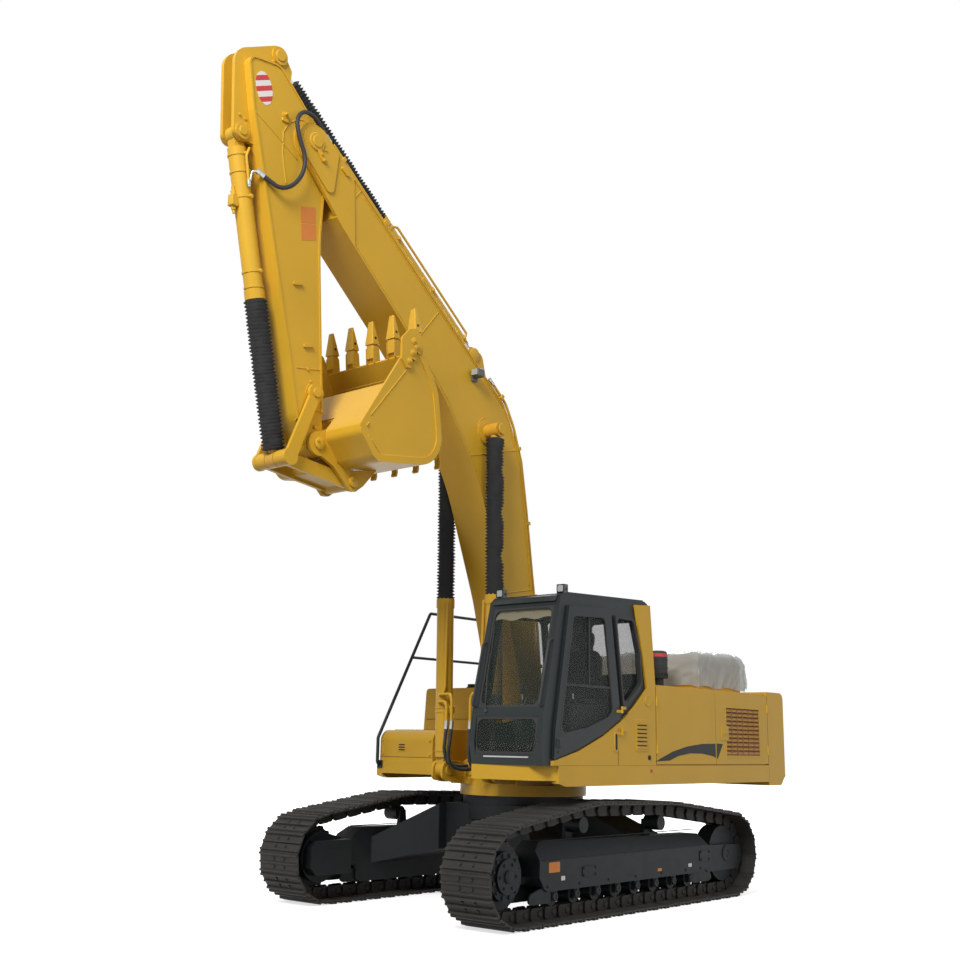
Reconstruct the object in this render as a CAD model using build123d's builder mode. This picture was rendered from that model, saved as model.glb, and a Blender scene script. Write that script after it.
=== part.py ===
from build123d import *
import math
import os

os.makedirs("parts", exist_ok=True)

# Crawler excavator. X forward, Y left (cab side), Z up, millimetres.
# Origin: the slewing axis at ground level. Side-view points are (x, z).

# undercarriage
GAUGE = 2590            # between the track centre lines
SHOE_W = 600
WHEEL_X = 2015          # sprocket and idler either side of the slewing axis
WHEEL_Z = 475
WHEEL_R = 449           # to the outer face of the shoe plates round the ends
SHOE_N = 50
PLATE_T = 14
GROUSER = 26
CHAIN_H = 130           # plate face to rail face
CHAIN_W = 190
CARRIERS = [(750, 890), (-700, 860)]
CARRIER_OUT = 214
ROLLER_XS = [1290, 930, 570, 210, -150, -510, -870, -1230]
ROLLER_Z = 246
FRAME_Z = (345, 760)
FRAME_SHOULDER = 590    # where the sloping top meets the outer face
FRAME_RIDGE = 45        # how far out from the track's middle the slope starts
FRAME_X = (-1590, 1490)
FRAME_W = 310
CAR_TOP = 1070
RING_R = 690
RING_Z = 1125

# upper structure
UNDER_Z = 1244
DECK_Z = 1476
SIDE_Y = 1480
RIGHT_X = 880           # front of the deck on the right
TANK_X = 70
TANK_Z = 2330
TANK_Y = -620
BOX_TOP = 1820
WALL_Y = 1450
HOOD_Z = 2350
BAY_X = (-3060, -500)
CW_X = (-3650, -3080)
CW_Z = (1230, 2380)
CW_ROUND = 160
DOOR_T = 29.5
SEAMS = (-490, -1780, -3076)
ENGINE_HOOD = (-2990, -1900, -1150, 1180, 2810)

# handrail on the right
RAIL_Y = -1425
RAIL_FOOT = 930
RAIL_TOP = (90, 3250)
RAIL_R = 19
RAIL_LOW = 1430
RAIL_MID = 2690

# cab
CAB_Y = (515, 1448)
CAB_T = 45
CAB_SIDE = [(-500, 1476), (1500, 1476), (1535, 1690), (1500, 2000), (1230, 3145), (1160, 3205),
            (-330, 3260), (-410, 3220), (-500, 2350)]
SWEEP = [(1385, 1478), (1385, 1520), (960, 1620), (540, 1770), (180, 1940), (-60, 2090), (-320, 2300)]
PILLAR = [(-110, 3200), (-395, 3220), (-478, 2360), (-478, 1478)]
DOOR_OUT = [(1372, 1536), (1352, 1830), (1120, 3080), (400, 3115), (370, 3050), (205, 1960), (540, 1792),
            (960, 1642)]
DOOR_GLASS = [(1285, 1760), (1062, 3000), (470, 3025), (330, 2030), (420, 1950), (800, 1835)]
QUARTER = [(290, 3050), (-70, 3040), (-190, 2690), (-225, 2340), (-60, 2200), (150, 2060)]
HINGE_Y = 1486

# front linkage pivots
FOOT = (100, 1880)
BC_BASE = (960, 1390)
BC_PIN = (1010, 5130)
BC_Y = 360
NOSE = (3750, 7570)
AC_BASE = (1100, 6050)
AC_PIN = (4160, 8390)
KC_BASE = (4560, 7400)
PA = (3570, 4990)
PB = (3490, 4500)
PC = (3020, 4200)
PD = (3850, 4300)
BOOM_W = 245
ARM_W = 195
ARM_END_W = ARM_W - 30
EAR_Y = (ARM_END_W + 10, ARM_END_W + 50)
LINK_Y = (ARM_W + 6, ARM_W + 44)
CHEEK_Y = (65, 105)     # brackets and top plates either side of the single cylinders
GAP = 5
FIT = 0.3
SEAT = 0.5              # running gap of faces that seat on each other

# outlines: a third number rounds that corner
BOOM = [(-40, 1950), (170, 3470, 6000), (385, 4880, 900), (690, 5500, 900), (1180, 5867, 1500), (3420, 7570),
        (3420, 6885), (3300, 6770, 150), (2440, 6030, 2500), (1690, 5320, 2500), (1150, 4560, 2500),
        (650, 3290, 2500), (245, 1890)]
ARM = [(4598, 8185, 90), (4500, 7640), (4430, 7380), (4220, 6550, 3000), (3890, 5250, 2000), (3770, 4710, 300),
       (3590, 4430, 60), (3400, 4570, 60), (3440, 4830, 400), (3490, 5400, 2500), (3580, 6570, 3000), (3535, 7470, 200),
       (3690, 7790, 150), (3820, 7895), (4040, 8095, 150), (4205, 8245, 90)]
EYE_ROOM = [(3600, 7998), (4106, 7998, 80), (4264, 8158, 80), (4264, 8700), (3600, 8700)]
ARM_TOP = [(4480, 7330, 60), (4570, 7310), (4655, 7370, 60), (4702, 8225, 210), (4150, 8522, 100), (3985, 8300, 60),
           (4010, 8060), (4200, 7300)]
BUCKET = [(2640, 5630), (2350, 5230, 500), (2235, 4440, 330), (3190, 4305, 150), (3405, 4560, 100), (3410, 4640, 40),
          (2880, 5450, 300)]
BUCKET_W = 700
BUCKET_T = 28
CHIN = 70               # width of the raised rim on the bucket's sides
CUTTER_T = 26
TEETH_Y = [-620, -310, 0, 310, 620]


def side(pts, y0, y1, mode=Mode.ADD, inset=0):
    """A plate drawn in side view, from y0 to y1."""
    with BuildSketch(Plane(origin=(0, y1, 0), x_dir=(1, 0, 0), z_dir=(0, -1, 0))) as s:
        with BuildLine():
            Polyline(*[p[:2] for p in pts], close=True)
        make_face()
        for p in pts:
            if len(p) > 2 and p[2] > 1.2 * inset:
                fillet(s.vertices().sort_by_distance((p[0], p[1], 0))[0], p[2])
        if inset:
            offset(amount=-inset, kind=Kind.INTERSECTION)
    extrude(s.sketch, amount=y1 - y0, mode=mode)


def pair(pts, y, mode=Mode.ADD, inset=0):
    """The same plate either side of the middle."""
    side(pts, y[0], y[1], mode, inset)
    side(pts, -y[1], -y[0], mode, inset)


def plan(pts, z0, z1, mode=Mode.ADD, inset=0):
    """A plate drawn in plan, from z0 to z1."""
    with BuildSketch(Plane.XY.offset(z0)) as s:
        with BuildLine():
            Polyline(*pts, close=True)
        make_face()
        if inset:
            offset(amount=-inset, kind=Kind.INTERSECTION)
    extrude(s.sketch, amount=z1 - z0, mode=mode)


def block(x0, x1, y0, y1, z0, z1, mode=Mode.ADD):
    with Locations(((x0 + x1) / 2, (y0 + y1) / 2, (z0 + z1) / 2)):
        Box(abs(x1 - x0), abs(y1 - y0), abs(z1 - z0), mode=mode)


def across(p, r, y0, y1, mode=Mode.ADD):
    """A round bar lying along Y."""
    with Locations(Location((p[0], (y0 + y1) / 2, p[1]), (90, 0, 0))):
        Cylinder(r, abs(y1 - y0), mode=mode)


def bar(p, q, r, mode=Mode.ADD):
    """A round bar between two points in space."""
    d = Vector(*q) - Vector(*p)
    with BuildSketch(Plane(origin=p, z_dir=tuple(d))) as s:
        Circle(r)
    extrude(s.sketch, amount=d.length, mode=mode)


def along(a, b, t):
    """The side-view point t millimetres from a towards b."""
    n = math.hypot(b[0] - a[0], b[1] - a[1])
    return (a[0] + (b[0] - a[0]) * t / n, a[1] + (b[1] - a[1]) * t / n)


def span(a, b):
    return math.hypot(b[0] - a[0], b[1] - a[1])


def hull2(p, rp, q, rq):
    """Side-view outline round two circles."""
    a = math.atan2(q[1] - p[1], q[0] - p[0])
    b = math.acos((rp - rq) / span(p, q))
    out = []
    for c, r, t0, t1 in ((q, rq, a - b, a + b), (p, rp, a + b, a - b + 2 * math.pi)):
        for k in range(9):
            t = t0 + (t1 - t0) * k / 8
            out.append((c[0] + r * math.cos(t), c[1] + r * math.sin(t)))
    return out


# the belt line of the tracks, on the outer face of the shoe plates
def tangent(c1, r1, c2, r2):
    d = (c2[0] - c1[0], c2[1] - c1[1])
    n = math.hypot(*d)
    return math.atan2(d[1], d[0]) - math.acos((r1 - r2) / n)


WHEELS = [((WHEEL_X, WHEEL_Z), WHEEL_R)] + [(c, CARRIER_OUT) for c in CARRIERS] + [((-WHEEL_X, WHEEL_Z), WHEEL_R)]
BELT = [("line", (-WHEEL_X, WHEEL_Z - WHEEL_R), (WHEEL_X, WHEEL_Z - WHEEL_R), -math.pi / 2)]
turn = -math.pi / 2
for (c1, r1), (c2, r2) in zip(WHEELS, WHEELS[1:]):
    psi = tangent(c1, r1, c2, r2) % (2 * math.pi)
    BELT.append(("arc", c1, r1, turn, psi))
    BELT.append(("line", (c1[0] + r1 * math.cos(psi), c1[1] + r1 * math.sin(psi)),
                 (c2[0] + r2 * math.cos(psi), c2[1] + r2 * math.sin(psi)), psi))
    turn = psi
BELT.append(("arc", WHEELS[-1][0], WHEEL_R, turn, 1.5 * math.pi))


def run(e):
    return span(e[1], e[2]) if e[0] == "line" else e[2] * (e[4] - e[3])


BELT_L = sum(run(e) for e in BELT)
PITCH = BELT_L / SHOE_N


def on_belt(s):
    """Point and outward direction s millimetres round the belt."""
    s = s % BELT_L
    for e in BELT:
        if s <= run(e):
            break
        s -= run(e)
    if e[0] == "line":
        p = along(e[1], e[2], s)
        return p[0], p[1], math.cos(e[3]), math.sin(e[3])
    a = e[3] + s / e[2]
    return e[1][0] + e[2] * math.cos(a), e[1][1] + e[2] * math.sin(a), math.cos(a), math.sin(a)


def belt_point(s, u, h):
    x, z, nx, nz = on_belt(s)
    return x - nz * u + nx * h, z + nx * u + nz * h


GROUSERS = [(-84, 15, 9), (0, 12, 5), (84, 15, 9)]
SHOE_LINE = []
for i in range(SHOE_N):
    for u, foot, tip in GROUSERS:
        for du, h in ((-foot, 0), (0, GROUSER), (foot, 0)):
            SHOE_LINE.append(belt_point((i + 0.5) * PITCH, u + du, h))
JOINTS = [belt_point(i * PITCH, 0, -PLATE_T) for i in range(SHOE_N)]
RAIL = [belt_point(i * PITCH, 0, -CHAIN_H) for i in range(SHOE_N)]


def room(p):
    """How far the rail line is from a point."""
    best = 1e9
    for a, b in zip(RAIL, RAIL[1:] + RAIL[:1]):
        d = (b[0] - a[0], b[1] - a[1])
        t = ((p[0] - a[0]) * d[0] + (p[1] - a[1]) * d[1]) / (d[0] ** 2 + d[1] ** 2)
        t = min(1, max(0, t))
        best = min(best, math.hypot(a[0] + d[0] * t - p[0], a[1] + d[1] * t - p[1]))
    return best


END_R = room((WHEEL_X, WHEEL_Z)) - FIT
IDLER_R = room((-WHEEL_X, WHEEL_Z)) - FIT
ROLLER_R = min(room((x, ROLLER_Z)) for x in ROLLER_XS) - FIT
print("shoe pitch", round(PITCH, 1), "belt", round(BELT_L), "wheel radius", round(END_R, 1))


def track(sgn, name):
    yc = sgn * GAUGE / 2
    with BuildPart() as b:
        side(SHOE_LINE, yc - SHOE_W / 2, yc + SHOE_W / 2)
        side(JOINTS, yc - SHOE_W / 2, yc + SHOE_W / 2, mode=Mode.SUBTRACT)
        with BuildSketch(Plane(origin=(0, yc + CHAIN_W / 2, 0), x_dir=(1, 0, 0), z_dir=(0, -1, 0))) as s:
            with BuildLine():
                Polyline(*JOINTS, close=True)
            make_face()
            with BuildLine():
                Polyline(*RAIL, close=True)
            make_face(mode=Mode.SUBTRACT)
        extrude(s.sketch, amount=CHAIN_W)
    b.part.label = name
    export_step(b.part, "parts/" + name + ".step")


track(1, "track_left")
track(-1, "track_right")


def track_frame(sgn, name):
    yc = sgn * GAUGE / 2
    fw = FRAME_W / 2
    inner = yc - sgn * fw
    with BuildPart() as b:
        side([(FRAME_X[0], FRAME_Z[0]), (FRAME_X[1], FRAME_Z[0]), (FRAME_X[1] + 60, 430), (FRAME_X[1] + 60, 680),
              (FRAME_X[1] - 60, FRAME_Z[1]), (FRAME_X[0] + 100, FRAME_Z[1] - 45), (FRAME_X[0], FRAME_Z[1] - 160)],
             yc - fw, yc + fw)
        # the top slopes down to the outer face, so that earth slides off
        with BuildSketch(Plane.YZ.offset(FRAME_X[0] - 50)):
            with BuildLine():
                Polyline((yc + sgn * fw, FRAME_SHOULDER), (yc + sgn * FRAME_RIDGE, FRAME_Z[1]),
                         (yc + sgn * FRAME_RIDGE, 900), (yc + sgn * (fw + 50), 900),
                         (yc + sgn * (fw + 50), FRAME_SHOULDER), close=True)
            make_face()
        extrude(amount=FRAME_X[1] - FRAME_X[0] + 200, mode=Mode.SUBTRACT)
        # skirts either side of the rollers, the inner one deeper
        for k, low in ((sgn, 300), (-sgn, 185)):
            y0, y1 = sorted((yc + k * (fw - 20), yc + k * fw))
            side([(FRAME_X[0] + 60, FRAME_Z[0]), (FRAME_X[0] + 60, low + 40), (FRAME_X[0] + 100, low),
                  (FRAME_X[1] - 60, low), (FRAME_X[1], low + 35), (FRAME_X[1], FRAME_Z[0])], y0, y1)
        # motor plate at the front, on the inner side
        y0, y1 = sorted((inner, inner + sgn * 40))
        side([(FRAME_X[1] - 100, 370), (FRAME_X[1] + 60, 370), (WHEEL_X, WHEEL_Z - 262), (WHEEL_X, WHEEL_Z + 262),
              (FRAME_X[1] + 60, 620), (FRAME_X[1] - 100, 620)], y0, y1)
        across((WHEEL_X, WHEEL_Z), 262, y0, y1)
        # idler fork at the rear
        for k in (-1, 1):
            y0, y1 = sorted((yc + k * (CHAIN_W / 2 + 6), yc + k * (CHAIN_W / 2 + 51)))
            side([(FRAME_X[0] + 100, 360), (FRAME_X[0], 290), (-WHEEL_X - 265, 290), (-WHEEL_X - 350, 385, 30),
                  (-WHEEL_X - 350, 565, 30), (FRAME_X[0] + 100, 585)], y0, y1)
    b.part.label = name
    export_step(b.part, "parts/" + name + ".step")


track_frame(1, "track_frame_left")
track_frame(-1, "track_frame_right")

with BuildPart() as sprockets:
    for sgn in (1, -1):
        yc = sgn * GAUGE / 2
        plate = yc - sgn * (FRAME_W / 2 - 40)
        across((WHEEL_X, WHEEL_Z), END_R, yc - 38, yc + 38)
        across((WHEEL_X, WHEEL_Z), 240, *sorted((plate, yc - sgn * 38)))
        across((WHEEL_X, WHEEL_Z), 225, *sorted((yc + sgn * 38, yc + sgn * 120)))
        across((WHEEL_X, WHEEL_Z), 160, *sorted((yc + sgn * 120, yc + sgn * 150)))
sprockets.part.label = "sprockets"
export_step(sprockets.part, "parts/sprockets.step")

with BuildPart() as idlers:
    for sgn in (1, -1):
        yc = sgn * GAUGE / 2
        across((-WHEEL_X, WHEEL_Z), IDLER_R, yc - CHAIN_W / 2, yc + CHAIN_W / 2)
        across((-WHEEL_X, WHEEL_Z), 55, yc - CHAIN_W / 2 - 6, yc + CHAIN_W / 2 + 6)
idlers.part.label = "idlers"
export_step(idlers.part, "parts/idlers.step")

with BuildPart() as rollers:
    for sgn in (1, -1):
        yc = sgn * GAUGE / 2
        for x in ROLLER_XS:
            across((x, ROLLER_Z), ROLLER_R, yc - CHAIN_W / 2, yc + CHAIN_W / 2)
            for k in (-1, 1):
                y0, y1 = sorted((yc + k * CHAIN_W / 2, yc + k * (CHAIN_W / 2 + 40)))
                block(x - 45, x + 45, y0, y1, ROLLER_Z - 45, FRAME_Z[0])
rollers.part.label = "bottom_rollers"
export_step(rollers.part, "parts/bottom_rollers.step")

for_top = [(FRAME_X[1] - 60, FRAME_Z[1]), (FRAME_X[0] + 100, FRAME_Z[1] - 45)]
slope = (for_top[0][1] - for_top[1][1]) / (for_top[0][0] - for_top[1][0])


def frame_top(x):
    return for_top[1][1] + (x - for_top[1][0]) * slope


with BuildPart() as carriers:
    for sgn in (1, -1):
        yc = sgn * GAUGE / 2
        for c in CARRIERS:
            r = room(c) - FIT
            across(c, r, yc - CHAIN_W / 2, yc + CHAIN_W / 2)
            y0, y1 = sorted((yc - sgn * CHAIN_W / 2, yc - sgn * (CHAIN_W / 2 + 45)))
            side([(c[0] - 60, frame_top(c[0] - 60)), (c[0] + 60, frame_top(c[0] + 60)), (c[0] + 40, c[1] + 35),
                  (c[0] - 40, c[1] + 35)], y0, y1)
carriers.part.label = "carrier_rollers"
export_step(carriers.part, "parts/carrier_rollers.step")

with BuildPart() as motors:
    for sgn in (1, -1):
        y = sgn * (GAUGE / 2 - FRAME_W / 2)
        y0, y1 = sorted((y, y - sgn * 130))
        side([(WHEEL_X - 330, 300), (WHEEL_X + 160, 300), (WHEEL_X + 240, 380), (WHEEL_X + 240, 570),
              (WHEEL_X + 160, 650), (WHEEL_X - 330, 650)], y0, y1)
motors.part.label = "travel_motor_guards"
export_step(motors.part, "parts/travel_motor_guards.step")

LEG_IN = (180, 760, 530, 1020)
LEG_OUT = (620, 1260, 370, 650)
with BuildPart() as car:
    block(-640, 640, -600, 600, 500, CAR_TOP - 40)
    with Locations((0, 0, CAR_TOP - 120)):
        Cylinder(RING_R, 160, align=(Align.CENTER, Align.CENTER, Align.CENTER))
    for sy in (1, -1):
        for sx in (1, -1):
            yi, yo = sy * 590, sy * (GAUGE / 2 - FRAME_W / 2)
            with BuildSketch(Plane(origin=(0, yi, 0), x_dir=(1, 0, 0), z_dir=(0, -1, 0))) as s1:
                with Locations((sx * (LEG_IN[0] + LEG_IN[1]) / 2, (LEG_IN[2] + LEG_IN[3]) / 2)):
                    Rectangle(LEG_IN[1] - LEG_IN[0], LEG_IN[3] - LEG_IN[2])
            with BuildSketch(Plane(origin=(0, yo, 0), x_dir=(1, 0, 0), z_dir=(0, -1, 0))) as s2:
                with Locations((sx * (LEG_OUT[0] + LEG_OUT[1]) / 2, (LEG_OUT[2] + LEG_OUT[3]) / 2)):
                    Rectangle(LEG_OUT[1] - LEG_OUT[0], LEG_OUT[3] - LEG_OUT[2])
            loft(sections=[s1.sketch, s2.sketch], ruled=True)
car.part.label = "car_body"
export_step(car.part, "parts/car_body.step")

with BuildPart() as ring_low:
    with Locations((0, 0, CAR_TOP - 40)):
        Cylinder(RING_R - 10, RING_Z - CAR_TOP + 40, align=(Align.CENTER, Align.CENTER, Align.MIN))
    with Locations((0, 0, CAR_TOP - 40)):
        Cylinder(RING_R + 10, CAR_TOP - 40, align=(Align.CENTER, Align.CENTER, Align.MAX), mode=Mode.SUBTRACT)
    with Locations((0, 0, CAR_TOP - 120)):
        Cylinder(RING_R, 160, mode=Mode.SUBTRACT)
ring_low.part.label = "slew_ring_lower"
export_step(ring_low.part, "parts/slew_ring_lower.step")

# upper structure
with BuildPart() as frame:
    plan([(BAY_X[0] - 20, -WALL_Y), (BAY_X[0] - 20, WALL_Y), (1290, WALL_Y), (1480, 1250), (1500, 520), (700, 520),
          (700, -520), (RIGHT_X, -520), (RIGHT_X, -WALL_Y)], 1330, DECK_Z)
    block(BAY_X[0] - 20, 700, -480, 480, UNDER_Z, 1330)
    with Locations((0, 0, RING_Z + SEAT)):
        Cylinder(RING_R + 25, UNDER_Z - RING_Z - SEAT, align=(Align.CENTER, Align.CENTER, Align.MIN))
    for sgn in (1, -1):
        # skirt beams
        y0, y1 = sorted((sgn * (SIDE_Y - 90), sgn * SIDE_Y))
        nose = 1290 if sgn > 0 else RIGHT_X
        side([(BAY_X[0] - 20, UNDER_Z + 30), (nose - 110, UNDER_Z + 30), (nose, UNDER_Z + 60), (nose, DECK_Z),
              (BAY_X[0] - 20, DECK_Z)], y0, y1)
        # cheeks that hold the boom foot
        y0, y1 = sorted((sgn * (BOOM_W + GAP), sgn * (BOOM_W + GAP + 40)))
        side([(-1000, DECK_Z - 2), (-900, 1630), (-120, 2040), (120, 2070), (270, 1990), (330, 1830), (480, 1570),
              (700, 1490), (700, DECK_Z - 2)], y0, y1)
        # lugs of the boom cylinders
        for y0, y1 in ((BC_Y - 84, BC_Y - 56), (BC_Y + 56, BC_Y + 84)):
            y0, y1 = sorted((sgn * y0, sgn * y1))
            side([(500, 1260), (900, 1262, 60), (1065, 1290, 60), (1065, 1490, 95), (860, 1490, 95), (500, 1470)], y0, y1)
        y0, y1 = sorted((sgn * (BC_Y - 84), sgn * (BC_Y + 84)))
        block(500, 760, y0, y1, 1260, DECK_Z)
        # pins of the boom cylinders
        across(BC_BASE, 40, y0, y1)
    across(FOOT, 60, -BOOM_W - GAP - 40 - 25, BOOM_W + GAP + 40 + 25)
frame.part.label = "main_frame"
export_step(frame.part, "parts/main_frame.step")

with BuildPart() as cw:
    with BuildSketch(Plane.XY.offset(CW_Z[0])) as s:
        with BuildLine():
            Polyline((CW_X[1], -SIDE_Y), (CW_X[1], SIDE_Y), (CW_X[0] + 140, SIDE_Y), (CW_X[0], 900),
                     (CW_X[0] - 40, 0), (CW_X[0], -900), (CW_X[0] + 140, -SIDE_Y), close=True)
        make_face()
    extrude(amount=CW_Z[1] - CW_Z[0])
    chamfer(cw.faces().sort_by(Axis.Z)[0].edges().filter_by(lambda e: e.center().X < CW_X[0] + 200), 110)
    fillet(cw.faces().sort_by(Axis.Z)[-1].edges().filter_by(lambda e: e.center().X < CW_X[0] + 200), 90)
cw.part.label = "counterweight"
export_step(cw.part, "parts/counterweight.step")

BAY = [(BAY_X[1], WALL_Y), (BAY_X[1], CAB_Y[0]), (-1010, CAB_Y[0]), (-1010, -600), (SEAMS[1], -600),
       (SEAMS[1], -WALL_Y), (BAY_X[0], -WALL_Y), (BAY_X[0], WALL_Y)]
LEFT_DOORS = [("door_left_front", SEAMS[0], SEAMS[1], 1), ("door_left_rear", SEAMS[1], SEAMS[2], -1)]
RIGHT_DOOR = (SEAMS[1], SEAMS[2])
DOOR_Z = (1490, 2330)
with BuildPart() as bay:
    plan(BAY, DECK_Z, HOOD_Z)
    plan(BAY, DECK_Z, HOOD_Z - 35, mode=Mode.SUBTRACT, inset=30)
    for x1, x0 in ((SEAMS[0] - 50, SEAMS[1] + 40), (SEAMS[1] - 40, BAY_X[0] + 50)):
        block(x0, x1, WALL_Y - 60, WALL_Y + 10, DECK_Z + 40, HOOD_Z - 60, mode=Mode.SUBTRACT)
    block(BAY_X[0] + 50, SEAMS[1] - 40, -WALL_Y - 10, -WALL_Y + 60, DECK_Z + 40, HOOD_Z - 60, mode=Mode.SUBTRACT)
    x0, x1, y0, y1, zt = ENGINE_HOOD
    block(x0 + 40, x1 - 40, y0 + 40, y1 - 40, HOOD_Z - 60, HOOD_Z + 10, mode=Mode.SUBTRACT)
bay.part.label = "engine_bay"
export_step(bay.part, "parts/engine_bay.step")


def panel(name, xa, xb, sgn):
    with BuildPart() as b:
        y0, y1 = sorted((sgn * (SIDE_Y - DOOR_T), sgn * SIDE_Y))
        block(xb + 4, xa - 4, y0, y1, DOOR_Z[0], DOOR_Z[1])
        if name == "door_left_rear":
            block(-2850, -2030, y0 - 5, y1 + 5, 1590, 2150, mode=Mode.SUBTRACT)
            for k in range(11):
                z = 1610 + 50 * k
                block(-2850, -2030, y0 + 4, y1 - 4, z, z + 24)
    b.part.label = name
    export_step(b.part, "parts/" + name + ".step")


for name, xa, xb, k in LEFT_DOORS:
    panel(name, xa, xb, 1)
panel("door_right_rear", RIGHT_DOOR[0], RIGHT_DOOR[1], -1)

with BuildPart() as hood:
    x0, x1, y0, y1, zt = ENGINE_HOOD
    block(x0, x1, y0, y1, HOOD_Z + SEAT, zt)
    fillet(hood.edges().filter_by(Axis.Z, reverse=True).group_by(Axis.Z)[-1], 90)
    fillet(hood.edges().filter_by(Axis.Z), 60)
    block(x0 + 30, x1 - 30, y0 + 30, y1 - 30, HOOD_Z - 5, zt - 100, mode=Mode.SUBTRACT)
hood.part.label = "engine_hood"
export_step(hood.part, "parts/engine_hood.step")

with BuildPart() as engine:
    block(-2750, -2050, -750, 450, DECK_Z, 2260)
engine.part.label = "engine_block"
export_step(engine.part, "parts/engine_block.step")

with BuildPart() as cooler:
    block(-2860, -2020, 1020, 1300, DECK_Z, 2270)
cooler.part.label = "cooler"
export_step(cooler.part, "parts/cooler.step")

with BuildPart() as tanks:
    block(SEAMS[1] + 10, -860, -SIDE_Y + 4, TANK_Y, DECK_Z, HOOD_Z)
    side([(-850, DECK_Z), (TANK_X + 60, DECK_Z), (TANK_X, TANK_Z), (-850, TANK_Z)], -SIDE_Y + 4, TANK_Y)
    fillet(tanks.edges().filter_by(Axis.X), 45)
tanks.part.label = "tanks"
export_step(tanks.part, "parts/tanks.step")

with BuildPart() as toolbox:
    side([(TANK_X + 62, DECK_Z), (RIGHT_X - 20, DECK_Z), (RIGHT_X - 20, BOX_TOP, 130), (TANK_X + 39, BOX_TOP)],
         -SIDE_Y + 30, TANK_Y)
toolbox.part.label = "toolbox"
export_step(toolbox.part, "parts/toolbox.step")

# cab
FRONT_LOW = [(1514, 1570), (1531, 1690), (1502, 1940)]
WIN_LOW = [(1400, 1580), (1600, 1580), (1600, 1950), (1400, 1950)]
WIN_UP = [(1340, 2040), (1600, 2040), (1350, 3080), (1120, 3080)]
REAR_WIN = (2450, 3070)
DOOR_HOLE = [(1330, 1580), (1310, 1830), (1085, 3035), (425, 3065), (250, 1990), (560, 1830), (960, 1680)]
RIGHT_WIN = [(1300, 1830), (1080, 3020), (340, 3050), (220, 1990)]
with BuildPart() as cab:
    side(CAB_SIDE, *CAB_Y)
    side(CAB_SIDE, CAB_Y[0] + CAB_T, CAB_Y[1] - CAB_T, mode=Mode.SUBTRACT, inset=CAB_T)
    side(DOOR_HOLE, CAB_Y[1] - CAB_T - 5, CAB_Y[1] + 5, mode=Mode.SUBTRACT)
    side(QUARTER, CAB_Y[1] - CAB_T - 5, CAB_Y[1] + 5, mode=Mode.SUBTRACT)
    side(RIGHT_WIN, CAB_Y[0] - 5, CAB_Y[0] + CAB_T + 5, mode=Mode.SUBTRACT)
    side(QUARTER, CAB_Y[0] - 5, CAB_Y[0] + CAB_T + 5, mode=Mode.SUBTRACT)
    side(WIN_LOW, CAB_Y[0] + CAB_T + 20, CAB_Y[1] - CAB_T - 20, mode=Mode.SUBTRACT)
    side(WIN_UP, CAB_Y[0] + CAB_T + 20, CAB_Y[1] - CAB_T - 20, mode=Mode.SUBTRACT)
    block(-600, -380, CAB_Y[0] + 110, CAB_Y[1] - 110, *REAR_WIN, mode=Mode.SUBTRACT)
cab.part.label = "cab_shell"
export_step(cab.part, "parts/cab_shell.step")

with BuildPart() as cab_panel:
    side(SWEEP + PILLAR, CAB_Y[1], SIDE_Y)
    side(QUARTER, CAB_Y[1] - 5, SIDE_Y + 5, mode=Mode.SUBTRACT)
cab_panel.part.label = "cab_side_panel"
export_step(cab_panel.part, "parts/cab_side_panel.step")


def cab_line(z, back):
    """X of the cab front at a height, set back from the outer skin."""
    pts = CAB_SIDE[1:5]
    for (x0, z0), (x1, z1) in zip(pts, pts[1:]):
        if z0 <= z <= z1:
            return x0 + (x1 - x0) * (z - z0) / (z1 - z0) - back
    return pts[-1][0] - back


def roof_z(x):
    (x0, z0), (x1, z1) = CAB_SIDE[5:7]
    return z0 + (z1 - z0) * (x - x0) / (x1 - x0)


with BuildPart() as windscreen:
    for z0, z1 in ((1580, 1690), (1690, 1950), (2040, 3080)):
        side([(cab_line(z0, 20), z0), (cab_line(z0, 12), z0), (cab_line(z1, 12), z1), (cab_line(z1, 20), z1)],
             CAB_Y[0] + CAB_T + 20, CAB_Y[1] - CAB_T - 20)
windscreen.part.label = "windscreen"
export_step(windscreen.part, "parts/windscreen.step")

with BuildPart() as cab_glass:
    side(QUARTER, CAB_Y[1] - 26, CAB_Y[1] - 20)
    side(QUARTER, CAB_Y[0] + 20, CAB_Y[0] + 26)
    side(RIGHT_WIN, CAB_Y[0] + 20, CAB_Y[0] + 26)
    xr = -500 + (REAR_WIN[0] - 2350) * 90 / 870
    side([(xr + 12, REAR_WIN[0]), (xr + 18, REAR_WIN[0]), (-500 + 720 * 90 / 870 + 18, REAR_WIN[1]),
          (-500 + 720 * 90 / 870 + 12, REAR_WIN[1])], CAB_Y[0] + 110, CAB_Y[1] - 110)
cab_glass.part.label = "cab_glass"
export_step(cab_glass.part, "parts/cab_glass.step")

with BuildPart() as cab_in:
    block(250, 1000, 700, 1260, DECK_Z + CAB_T, 1690)
    block(300, 820, 690, 1270, 1690, 2010)
    side([(330, 2010), (200, 2010), (130, 2730), (240, 2730)], 740, 1220)
    for y in (600, 1270):
        block(300, 950, y, y + 90, 1690, 2100)
cab_in.part.label = "cab_interior"
export_step(cab_in.part, "parts/cab_interior.step")

with BuildPart() as cab_door:
    side(DOOR_OUT, CAB_Y[1] + SEAT, SIDE_Y + 2)
    side(DOOR_GLASS, CAB_Y[1], SIDE_Y + 10, mode=Mode.SUBTRACT)
cab_door.part.label = "cab_door"
export_step(cab_door.part, "parts/cab_door.step")

with BuildPart() as door_glass:
    side(DOOR_GLASS, CAB_Y[1] + 12, CAB_Y[1] + 18)
door_glass.part.label = "door_glass"
export_step(door_glass.part, "parts/door_glass.step")

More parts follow.
